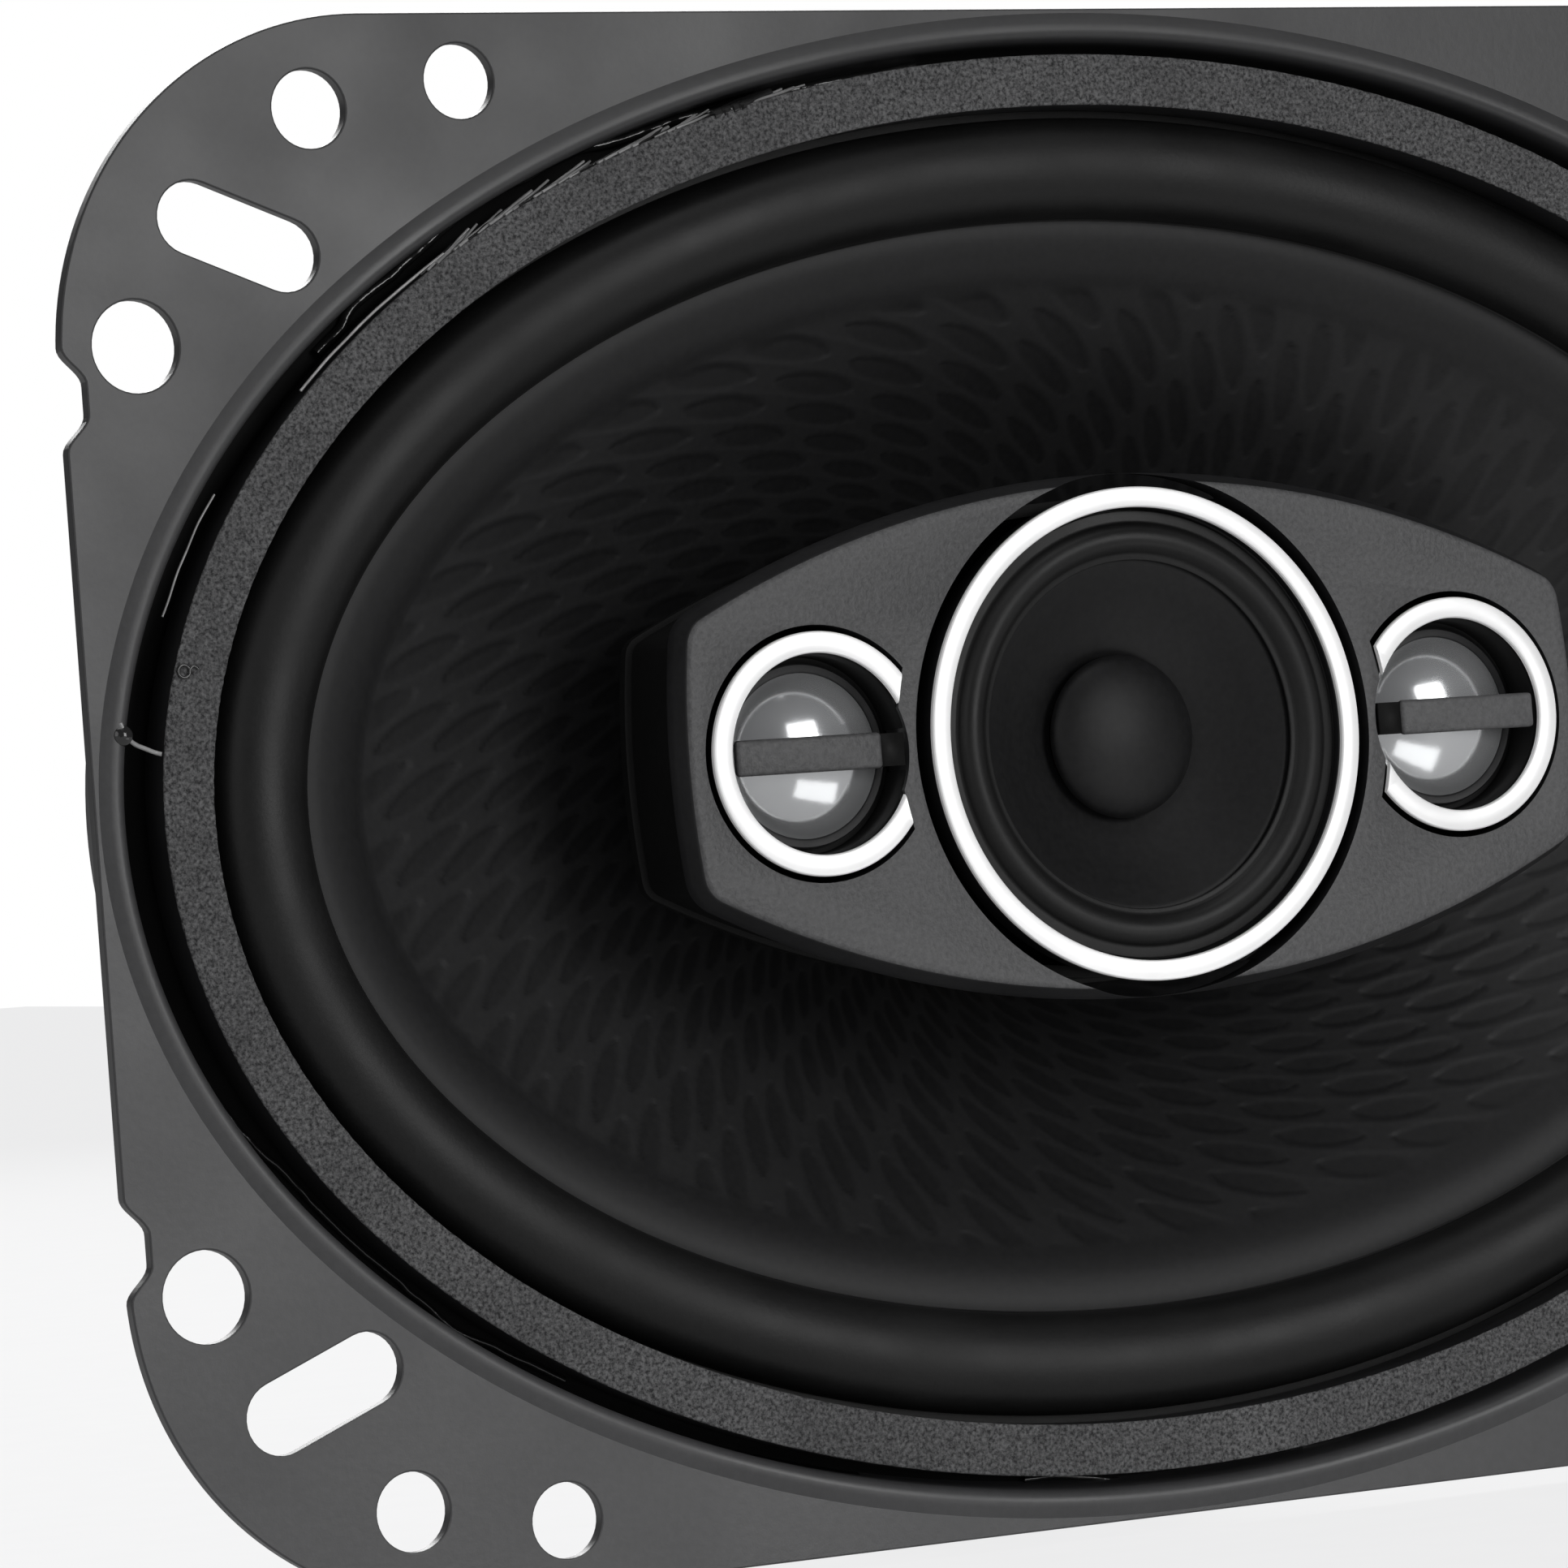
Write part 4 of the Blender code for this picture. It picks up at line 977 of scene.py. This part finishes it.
pockets = [plug("bore_plug", 17.9, -6.0, -1.2)]
for x in (-TWEETER_X, TWEETER_X):
    for radius, wall in ((8.6, 19.3), (6.7, 18.45)):
        pocket = plug("pocket_plug", radius, -6.0, -1.2, x)
        pockets.append(carve(pocket, [plug("wall_keeper", wall, -7.0, 0.0)]))
carve(housing, pockets)
round_edges(housing, 0.12, 2, 50.0)
dress(housing, "basket", pod_plastic, "pod_plastic", "pod_housing")
# Painted shade: the skirt's sides are painted darker and the body behind it near black.
repaint(housing, [dark_plastic_and_shade, deep_black_and_shade],
        lambda x, y, z: 2 if y > -2.3 else 1 if y > -3.86 else 0)
cover_rings = [pod_ring(y, g) for y, g in ((6.3, -0.8), (6.42, -0.6), (7.18, -0.6), (7.3, -0.8))]
cover = cap_ends(loft("pod_cover", cover_rings, closed=False))
dress(cover, "basket", deep_black_and_shade, "black_plastic", "pod_back_cover")
post_line = [(2.2, 7.6), (8.0, 7.6), (8.0, 8.8), (5.5, 10.2), (5.5, 31.0), (2.2, 31.0)]
post = turn("hollow_post", soften(post_line, 0.4), 96)
dress(post, "basket", dark_plastic_and_shade, "black_plastic", "pod_post")
print("pod:", len(housing.data.vertices), "points")

# %% [markdown]
# ## Long screw
#
# A post and one long screw through the motor carry the pod from behind. The thread is
# turned as plain rings, half a millimetre apart: so fine a thread never shows its slope.
# Two crossed blocks cut the recess in its head.

# %% The long screw, with its thread and cross recess
thread = [(0.0, 22.0), (1.0, 22.0)]
for k in range(54):
    thread += [(1.72, 22.2 + 0.5 * k), (1.9, 22.45 + 0.5 * k)]
thread += [(1.72, 49.2), (4.0, 49.2), (4.0, 50.1), (3.75, 50.7), (3.0, 51.1), (1.8, 51.2),
           (0.0, 51.2)]
screw = turn("long_screw", thread, 48)


def block(name, low, high):
    """A plain block between two corners in millimetres, used as a cutter or a blank."""
    x0, y0, z0 = low
    x1, y1, z1 = high
    ring = np.array([(x0, 0.0, z0), (x1, 0.0, z0), (x1, 0.0, z1), (x0, 0.0, z1)])
    rings = [(ring + np.array([0.0, y, 0.0])) * MM for y in (y0, y1)]
    return cap_ends(loft(name, rings, closed=False))


for arm_x, arm_z in ((1.9, 0.35), (0.35, 1.9)):
    carve(screw, [block("cross_arm", (-arm_x, 50.2, -arm_z), (arm_x, 52.0, arm_z))])
dress(screw, "basket", bright_steel, "plated_steel", "post_screw")
print("screw:", len(screw.data.vertices), "points")

# %% [markdown]
# ## Midrange
#
# The centre driver is a small speaker of its own: a cup, a bright trim ring standing in a
# dark groove, a narrow rubber roll, a plastic cone and a dust cap. Only the cone, cap and
# coil move; the roll stays in its rest shape and belongs to no body.

# %% Midrange driver
def on_pod(name, line, count=160, x=0.0):
    """Turn a piece about the pod's axis, or about a tweeter's."""
    return turn(name, line, count, (x, POD_Z))


cup_line = [(0.0, 5.2), (14.2, 5.2), (14.2, -2.9), (15.35, -2.9), (15.6, -3.1), (15.6, -3.7),
            (15.7, -3.8), (16.5, -3.8), (16.6, -3.7), (16.6, -1.9), (16.5, -1.8), (15.2, -1.8),
            (15.2, 6.0), (0.0, 6.0)]
dress(on_pod("midrange_cup", cup_line), "basket", dark_plastic_and_shade, "black_plastic", "mid_cup")
ring_line = [(15.45, -4.1), (15.46, -4.36), (15.53, -4.46), (15.66, -4.5), (16.64, -4.5),
             (16.77, -4.46), (16.84, -4.36), (16.85, -4.1)]
dress(on_pod("midrange_ring", ring_line, 256), "basket", chrome, "trim_chrome", "mid_trim_ring")
mid_roll_line = [(15.3, -3.45), (14.5, -3.45), (14.3, -3.7), (13.95, -4.05), (13.4, -4.2),
                 (12.85, -4.05), (12.5, -3.7), (12.3, -3.45), (11.9, -3.4), (11.9, -3.2),
                 (12.5, -3.2), (12.95, -3.75), (13.4, -3.9), (13.85, -3.75), (14.3, -3.2), (15.3, -3.2)]
mid_roll = on_pod("midrange_roll", soften(mid_roll_line, 0.25, 3), 192)
dress(mid_roll, None, roll_rubber, "rubber", "mid_surround")
points = points_of(mid_roll)
radius = np.hypot(points[:, 0], points[:, 2] - POD_Z)
bend(mid_roll)
mid_cone_line = [(12.3, -2.9), (12.0, -2.95), (11.6, -2.8), (10.0, -1.85), (8.4, -1.05),
                 (6.8, -0.35), (5.2, 0.25), (5.2, 0.6), (8.4, -0.65), (11.6, -2.45), (12.3, -2.5)]
mid_cone = on_pod("midrange_cone", mid_cone_line)
dress(mid_cone, "mid_diaphragm", cone_plastic, "cone_plastic", "mid_cone")
cap_line = [(0.0, -2.4)]
cap_line += [(5.6 * math.sin(p), -2.4 + 1.8 * (1.0 - math.cos(p)) ** 0.9)
             for p in np.linspace(0.1, math.pi / 2.0, 14)]
cap_line += [(5.3, -0.4), (4.0, -1.15), (2.1, -1.85), (0.0, -2.1)]
mid_cap = on_pod("midrange_cap", cap_line)
dress(mid_cap, "mid_diaphragm", cone_plastic, "cone_plastic", "mid_dust_cap")
coil_line = [(4.5, 0.95), (4.98, 0.95)]
for k in range(12):
    coil_line += [(4.92, 1.0 + 0.21 * k), (5.0, 1.1 + 0.21 * k)]
coil_line += [(4.98, 3.6), (4.5, 3.6)]
dress(on_pod("midrange_coil", coil_line, 64), "mid_diaphragm", copper, "copper", "mid_voice_coil")
for node, line, surface, slot in (
        ("mid_top_plate", [(5.4, 1.4), (8.5, 1.4), (8.5, 2.2), (5.4, 2.2)], zinc, "plated_steel"),
        ("mid_magnet", [(6.0, 2.5), (9.0, 2.5), (9.0, 4.0), (6.0, 4.0)], ferrite_stone, "ferrite")):
    dress(on_pod(node + "_turned", soften(line, 0.15), 96), "basket", surface, slot, node)
yoke_line = [(0.0, 1.4), (3.9, 1.4), (4.1, 1.6), (4.1, 4.3), (8.3, 4.3), (8.5, 4.5), (8.5, 4.9),
             (0.0, 4.9)]
dress(on_pod("mid_yoke_turned", yoke_line, 96), "basket", zinc, "plated_steel", "mid_yoke")
print("midrange made")

# %% [markdown]
# ## Tweeters
#
# Each tweeter is a bright dome of metallised film under a narrow bar that shields it. Its
# trim ring isn't whole: where the midrange's ring is in the way it is cut off, so it reads
# as a C that tucks behind the larger ring. The bar thins to a foot on that side, painted
# near black as painted shade for the shadow on that end.

# %% Dome tweeters
DOME_EDGE, DOME_RISE, DOME_FRONT, DOME_STEPS = 5.55, 1.7, -3.1, 14
dome_r = (DOME_EDGE ** 2 + DOME_RISE ** 2) / (2.0 * DOME_RISE)
span = math.asin(DOME_EDGE / dome_r)
skin = [(dome_r * math.sin(span * k / DOME_STEPS),
         DOME_FRONT + dome_r * (1.0 - math.cos(span * k / DOME_STEPS)))
        for k in range(DOME_STEPS + 1)]
dome_line = skin + [(5.7, -1.36), (6.1, -1.42), (6.2, -1.35), (6.2, -1.2), (5.5, -1.15)]
dome_line += [(r * 0.97, y + 0.28) for r, y in reversed(skin[:DOME_STEPS:2])]
pot_line = [(6.65, -3.7), (7.95, -3.7), (7.95, -0.3), (5.7, -0.3), (5.7, -0.9), (6.65, -0.9)]
rim_line = [(6.72, -4.0), (6.73, -4.27), (6.80, -4.36), (6.93, -4.4), (7.96, -4.4),
            (8.09, -4.36), (8.16, -4.27), (8.17, -4.0)]
wire_line = [(4.9, -0.7), (5.28, -0.7)]
for k in range(10):
    wire_line += [(5.2, -0.6 + 0.24 * k), (5.3, -0.48 + 0.24 * k)]
wire_line += [(5.28, 1.8), (4.9, 1.8)]
motor_lines = (("pole_disc", [(0.0, -0.3), (4.35, -0.3), (4.5, -0.15), (4.5, 0.6), (0.0, 0.6)]),
               ("magnet", [(0.0, 0.9), (4.05, 0.9), (4.2, 1.05), (4.2, 3.1), (0.0, 3.1)]),
               ("yoke", [(0.0, 3.4), (5.9, 3.4), (5.9, 0.0), (6.85, 0.0), (7.0, 0.15),
                         (7.0, 4.2), (6.8, 4.4), (0.0, 4.4)]))
BAR_REACH = 4.6
for side, x in (("left", -TWEETER_X), ("right", TWEETER_X)):
    body = "tweeter_diaphragm_" + side
    pot = on_pod("tweeter_pot_" + side, soften(pot_line, 0.15, 2), 160, x)
    carve(pot, [plug("clearance", 18.75, -8.0, 3.0)])
    dress(pot, "basket", deep_black_and_shade, "black_plastic", "tweeter_frame_" + side)
    rim = on_pod("tweeter_ring_" + side, rim_line, 224, x)
    carve(rim, [plug("clearance", 19.45, -8.0, 3.0)])
    dress(rim, "basket", chrome, "trim_chrome", "tweeter_trim_ring_" + side)
    low, high = (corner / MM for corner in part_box("tweeter_bar_" + side))
    bar_x, foot_x = (low[0], min(high[0], x + BAR_REACH)), (x + BAR_REACH - 0.3, high[0])
    if side == "right":
        bar_x, foot_x = (max(low[0], x - BAR_REACH), high[0]), (low[0], x - BAR_REACH + 0.3)
    bar = block("tweeter_guard_" + side, (bar_x[0], low[1], low[2]), (bar_x[1], high[1], high[2]))
    round_edges(bar, 0.28, 3)
    dress(bar, "basket", pod_plastic, "black_plastic", "tweeter_bar_" + side)
    # Painted shade: the bar's foot, at the end near the pod's centre, is painted near black for the shadow
    # there.
    foot = block("guard_foot_painted_shade_" + side, (foot_x[0], low[1] + 0.25, low[2] + 0.1),
                 (foot_x[1], high[1], high[2] - 0.1))
    dress(foot, "basket", deep_black_and_shade, "black_plastic")
    dome = on_pod("tweeter_dome_film_" + side, dome_line, 128, x)
    dress(dome, body, mirror_film, "dome_film", "tweeter_dome_" + side)
    repaint(dome, [dark_plastic_and_shade], lambda px, py, pz: math.hypot(px - x, pz - POD_Z) > 5.62)
    coil = on_pod("tweeter_wire_" + side, wire_line, 64, x)
    dress(coil, body, copper, "copper", "tweeter_coil_" + side)
    for part, line in motor_lines:
        turned = on_pod("tweeter_%s_turned_%s" % (part, side), line, 72, x)
        dress(turned, "basket", zinc, "plated_steel", "tweeter_%s_%s" % (part, side))
print("tweeters made")

# %% [markdown]
# ## Terminals
#
# At the back a small board of brown laminate is riveted to the basket. It carries two
# spade tabs, the wide one for plus, and two capacitors that keep bass out of the small
# drivers. Flat pieces are cut from outlines like the plate; the cans are turned lying down.

# %% Board, tabs and capacitors
def rounded_box_outline(x0, z0, x1, z1, corner):
    """A rectangle with round corners as an outline."""
    out = arc(x1 - corner, z1 - corner, corner, 0.0, 90.0, 8)
    out += arc(x0 + corner, z1 - corner, corner, 90.0, 180.0, 8)
    out += arc(x0 + corner, z0 + corner, corner, 180.0, 270.0, 8)
    return out + arc(x1 - corner, z0 + corner, corner, 270.0, 360.0, 8)


EYELETS = ((1, -9.0), (2, 9.0))
board_cuts = [rounded_box_outline(-15.0, -45.5, 15.0, -28.5, 1.2)]
board_cuts += [ring_outline(x, -31.0, 1.2, 1.2, 24) for _, x in EYELETS]
board = flat_cut("laminate_board", board_cuts, 25.3, 26.5, 0.08)
dress(board, "basket", phenolic_board, "phenolic", "terminal_board")
for k, x in EYELETS:
    line = [(0.0, 24.1), (0.9, 24.1), (0.9, 26.8), (1.9, 26.8), (2.0, 26.95), (2.0, 27.15),
            (1.6, 27.45), (1.0, 27.65), (0.6, 27.3), (0.0, 27.3)]
    dress(turn("board_eyelet_%d" % k, line, 40, (x, -31.0)), "basket", zinc, "plated_steel",
          "board_rivet_%d" % k)
for sign, x, half in (("positive", 10.0, 3.15), ("negative", -10.0, 2.4)):
    outline = [(x - half, -40.0), (x - half, -49.0), (x - half + 0.9, -50.5),
               (x + half - 0.9, -50.5), (x + half, -49.0), (x + half, -40.0)]
    tab = flat_cut("spade_tab_" + sign, [outline, ring_outline(x, -48.0, 0.8, 0.8, 24),
                                         ring_outline(x, -41.6, 0.6, 0.6, 20)], 26.8, 27.6, 0.1)
    dress(tab, "basket", brass, "terminal_brass", "terminal_" + sign)
    blob = [(0.0, 26.75), (1.43, 26.75), (1.3, 27.4), (0.975, 27.85), (0.455, 28.05), (0.0, 28.1)]
    solder = turn("solder_" + sign, blob, 32, (x, -42.4))
    dress(solder, "basket", tinned, "plated_steel")
CANS = (("capacitor_midrange", -36.4, 3.1, 6.3), ("capacitor_tweeter", -42.6, 2.5, 5.5))
for node, z, r, half in CANS:
    line = [(0.0, -half + 0.1), (r - 1.0, -half + 0.1), (r - 0.9, -half), (r - 0.5, -half),
            (r - 0.12, -half + 0.12), (r, -half + 0.5), (r, -half + 1.5), (r - 0.3, -half + 1.8),
            (r - 0.3, -half + 2.1), (r, -half + 2.4), (r, half - 0.6), (r - 0.15, half - 0.15),
            (r - 0.6, half), (r - 1.1, half), (r - 1.2, half - 0.15), (0.0, half - 0.15)]
    can = turn(node + "_can", line, 64)
    can.data.transform(Matrix.Translation((0.0, (26.8 + r) * MM, z * MM))
                       @ Matrix.Rotation(math.radians(90.0), 4, "Z"))
    dress(can, "basket", sleeve_film, "capacitor_sleeve", node)


def wire_run(name, route, radius, material, slot, body="basket"):
    """A round wire through points in millimetres, bent smoothly."""
    curve = bpy.data.curves.new(name, "CURVE")
    curve.dimensions = "3D"
    curve.bevel_depth = radius * MM
    curve.bevel_resolution = 3
    curve.use_fill_caps = True
    spline = curve.splines.new("NURBS")
    spline.points.add(len(route) - 1)
    for point, place in zip(spline.points, route):
        point.co = (*[c * MM for c in place], 1.0)
    spline.use_endpoint_u = True
    spline.order_u = 3
    spline.resolution_u = 8
    return dress(from_curve(name, curve, Matrix.Identity(4), 50.0), body, material, slot)


leg = 0
for _, z, r, half in CANS:
    y = 26.8 + r
    for sign in (1.0, -1.0):
        leg += 1
        route = [(half - 0.1, y, z), (half + 1.2, y, z), (half + 1.8, y - 0.8, z),
                 (half + 1.9, 27.2, z - 0.2), (half + 1.9, 26.4, z - 0.3)]
        route = [(sign * px, py, pz) for px, py, pz in route]
        wire_run("capacitor_leg_%d" % leg, route, 0.3, tinned, "plated_steel")
print("board, tabs and capacitors made")

# %% [markdown]
# ## Braided leads
#
# The current reaches the moving coil through two braids of fine copper, soft enough to bend
# millions of times. Three strands twisted about a line look like a braid at this size. Each
# lead is made in its rest shape and belongs to no body.

# %% Braided leads to the cone
def braided(name, centre_line, radius):
    """Three strands twisted about a centre line, as one mesh."""
    line = [Vector(p) for p in centre_line]
    strands = []
    for s in range(3):
        route = []
        for k in range(len(line) * 6 - 5):
            whole, part = divmod(k, 6)
            here = line[whole].lerp(line[min(whole + 1, len(line) - 1)], part / 6.0)
            along = (line[min(whole + 1, len(line) - 1)] - line[max(whole - 1, 0)]).normalized()
            side = along.cross(Vector((1.0, 0.0, 0.0))).normalized()
            up = along.cross(side)
            twist = 1.1 * k + s * 2.0 * math.pi / 3.0
            route.append(here + (side * math.cos(twist) + up * math.sin(twist)) * radius * 0.5)
        strand = wire_run(name + "_strand_%d" % s, route, radius * 0.45, copper, "copper", None)
        strands.append(strand)
    return join(strands, name)


for sign, x in (("positive", 4.5), ("negative", -4.5)):
    line = [(x, 24.5, -37.4), (x, 21.8, -38.7), (x, 18.4, -38.2), (0.95 * x, 16.2, -34.5),
            (0.9 * x, 15.0, -29.0), (0.85 * x, 13.7, -23.8)]
    lead = braided("braided_lead_" + sign, line, 0.42)
    dress(lead, None, copper, "copper", "tinsel_lead_" + sign)
    lead.data.shade_smooth()
    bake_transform(lead)
print("leads made")

# %% [markdown]
# ## Glue
#
# A real speaker is put together with black contact glue, and it shows: a wet-looking bead
# along the foot of the step, strings where the nozzle was lifted, and a blob or two. They
# are laid along the channel between plate and gasket, where the assembler's hand put them.

# %% Beads, strings and blobs of glue
def channel_point(angle, share, y):
    """A point in the channel; share runs from the gasket's side (0) to the step (1)."""
    a = 71.4 + 2.3 * share
    return (a * math.cos(angle), y, (a - 22.7 - 1.5 * share) * math.sin(angle))


def glue_string(name, start, end, size, seed):
    """A wavering bead of glue along the channel, between two angles in degrees."""
    rng = np.random.default_rng(seed)
    steps = max(6, int(abs(end - start) * 1.2))
    route = []
    share, drift = rng.uniform(0.25, 0.75), 0.0
    for k in range(steps + 1):
        drift = 0.7 * drift + rng.normal(0.0, 0.10)
        share = min(0.95, max(0.05, share + drift))
        angle = math.radians(start + (end - start) * k / steps)
        route.append(channel_point(angle, share, 3.3 - abs(rng.normal(0.0, 0.12))))
    return wire_run(name, route, size, glue, "rubber")


def edge_point(angle, out, y):
    """A point beside the gasket's outer edge, some way out into the channel."""
    t = math.radians(angle)
    a = 71.15 + out
    return (a * math.cos(t), y, (a - 22.55 - 0.65 * out) * math.sin(t))


def whisker(name, angle, sweep, size, seed, surface):
    """A pulled string of glue that leaves the gasket's edge and crosses the channel."""
    rng = np.random.default_rng(seed)
    reach = 0.25 + 0.75 * rng.random()
    route = []
    for s in range(6):
        u = s / 5.0
        out = 0.06 + reach * u ** 1.6 + rng.normal(0.0, 0.04)
        height = -0.55 + 0.9 * u + rng.normal(0.0, 0.05)
        route.append(edge_point(angle - sweep * u, out, height))
    return wire_run(name, route, size, surface, "rubber")


glue_string("glue_bead_upper", 142.0, 98.0, 0.34, 3)
glue_string("glue_bead_lower", 200.0, 232.0, 0.22, 7)
glue_string("glue_bead_bottom", 262.0, 283.0, 0.24, 8)
glue_string("glue_bead_right", 20.0, 48.0, 0.30, 9)
rng = np.random.default_rng(2)
thread = [edge_point(146.0 - 1.5 * k, 0.35 + 0.10 * rng.random(), -0.35) for k in range(10)]
wire_run("glue_long_string", thread, 0.10, glue_with_painted_highlight, "rubber")
thread = [edge_point(164.5 - 1.2 * k, 1.25 + 0.2 * rng.random(), 0.2) for k in range(9)]
wire_run("glue_left_string", thread, 0.075, glue_with_painted_highlight, "rubber")
for k in range(30):
    start = 135.0 - 0.85 * k + rng.normal(0.0, 0.25)
    sweep = 2.6 + 2.4 * rng.random()
    size = 0.07 + 0.07 * rng.random()
    whisker("glue_whisker_%d" % k, start, sweep, size, 20 + k, glue_with_painted_highlight if k % 5 else glue)
for k in range(4):
    whisker("glue_lump_%d" % k, 113.0 - 0.6 * k, 2.6, 0.36, 60 + k, glue)
drop = [(0.0, -1.55), (0.35, -1.5), (0.62, -1.3), (0.7, -1.0), (0.5, -0.6), (0.0, -0.5)]
dress(turn("glue_drop", drop, 24, (-73.75, 5.6)), "basket", glue, "rubber")
thread_route = [(-73.9, -1.2, 6.4), (-73.6, -1.35, 5.5), (-72.9, -0.9, 5.0), (-72.0, -0.55, 4.7),
                (-71.2, -0.3, 4.4), (-70.9, -0.5, 4.3)]
wire_run("glue_thread", thread_route, 0.15, glue_with_painted_highlight, "rubber")
curl = [(-69.1 + 0.42 * math.cos(t), -0.84, 9.5 + 0.42 * math.sin(t))
        for t in np.linspace(0.4, 6.6, 12)]
curl += [(-68.35, -0.84, 9.9), (-68.1, -0.82, 9.6)]
wire_run("gasket_curl", curl, 0.10, glue, "rubber")
print("glue laid")

# %% [markdown]
# ## Floor
#
# The floor is part of the studio, not of the speaker, so it is marked as a backdrop. It
# lies a millimetre below the plate's lower edge and runs far back, where its left border
# leaves the white backdrop free.

# %% Floor
FLOOR_Z = -0.0527
border = ((-0.25, -2.0), (10.0, 25.5), (-20.0, 25.5), (-20.0, -2.0))
mesh = bpy.data.meshes.new("studio_floor")
mesh.from_pydata([(x, y, FLOOR_Z) for x, y in border], [], [(0, 1, 2, 3)])
floor = new_object("studio_floor", mesh)
floor.data.materials.append(floor_paper)
floor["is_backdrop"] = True
print("floor at", FLOOR_Z, "m")

# %% [markdown]
# ## Last measurements
#
# At the end the finished speaker is measured again. It has to fill the same box as the
# engineering model, and both boxes are written down so that they can be compared.

# %% Measure and finish
final_box = [list(corner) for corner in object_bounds()]
for name, (low, high) in (("model", cad_box), ("finished", final_box)):
    print(name, [round((b - a) / MM, 2) for a, b in zip(low, high)], "mm")
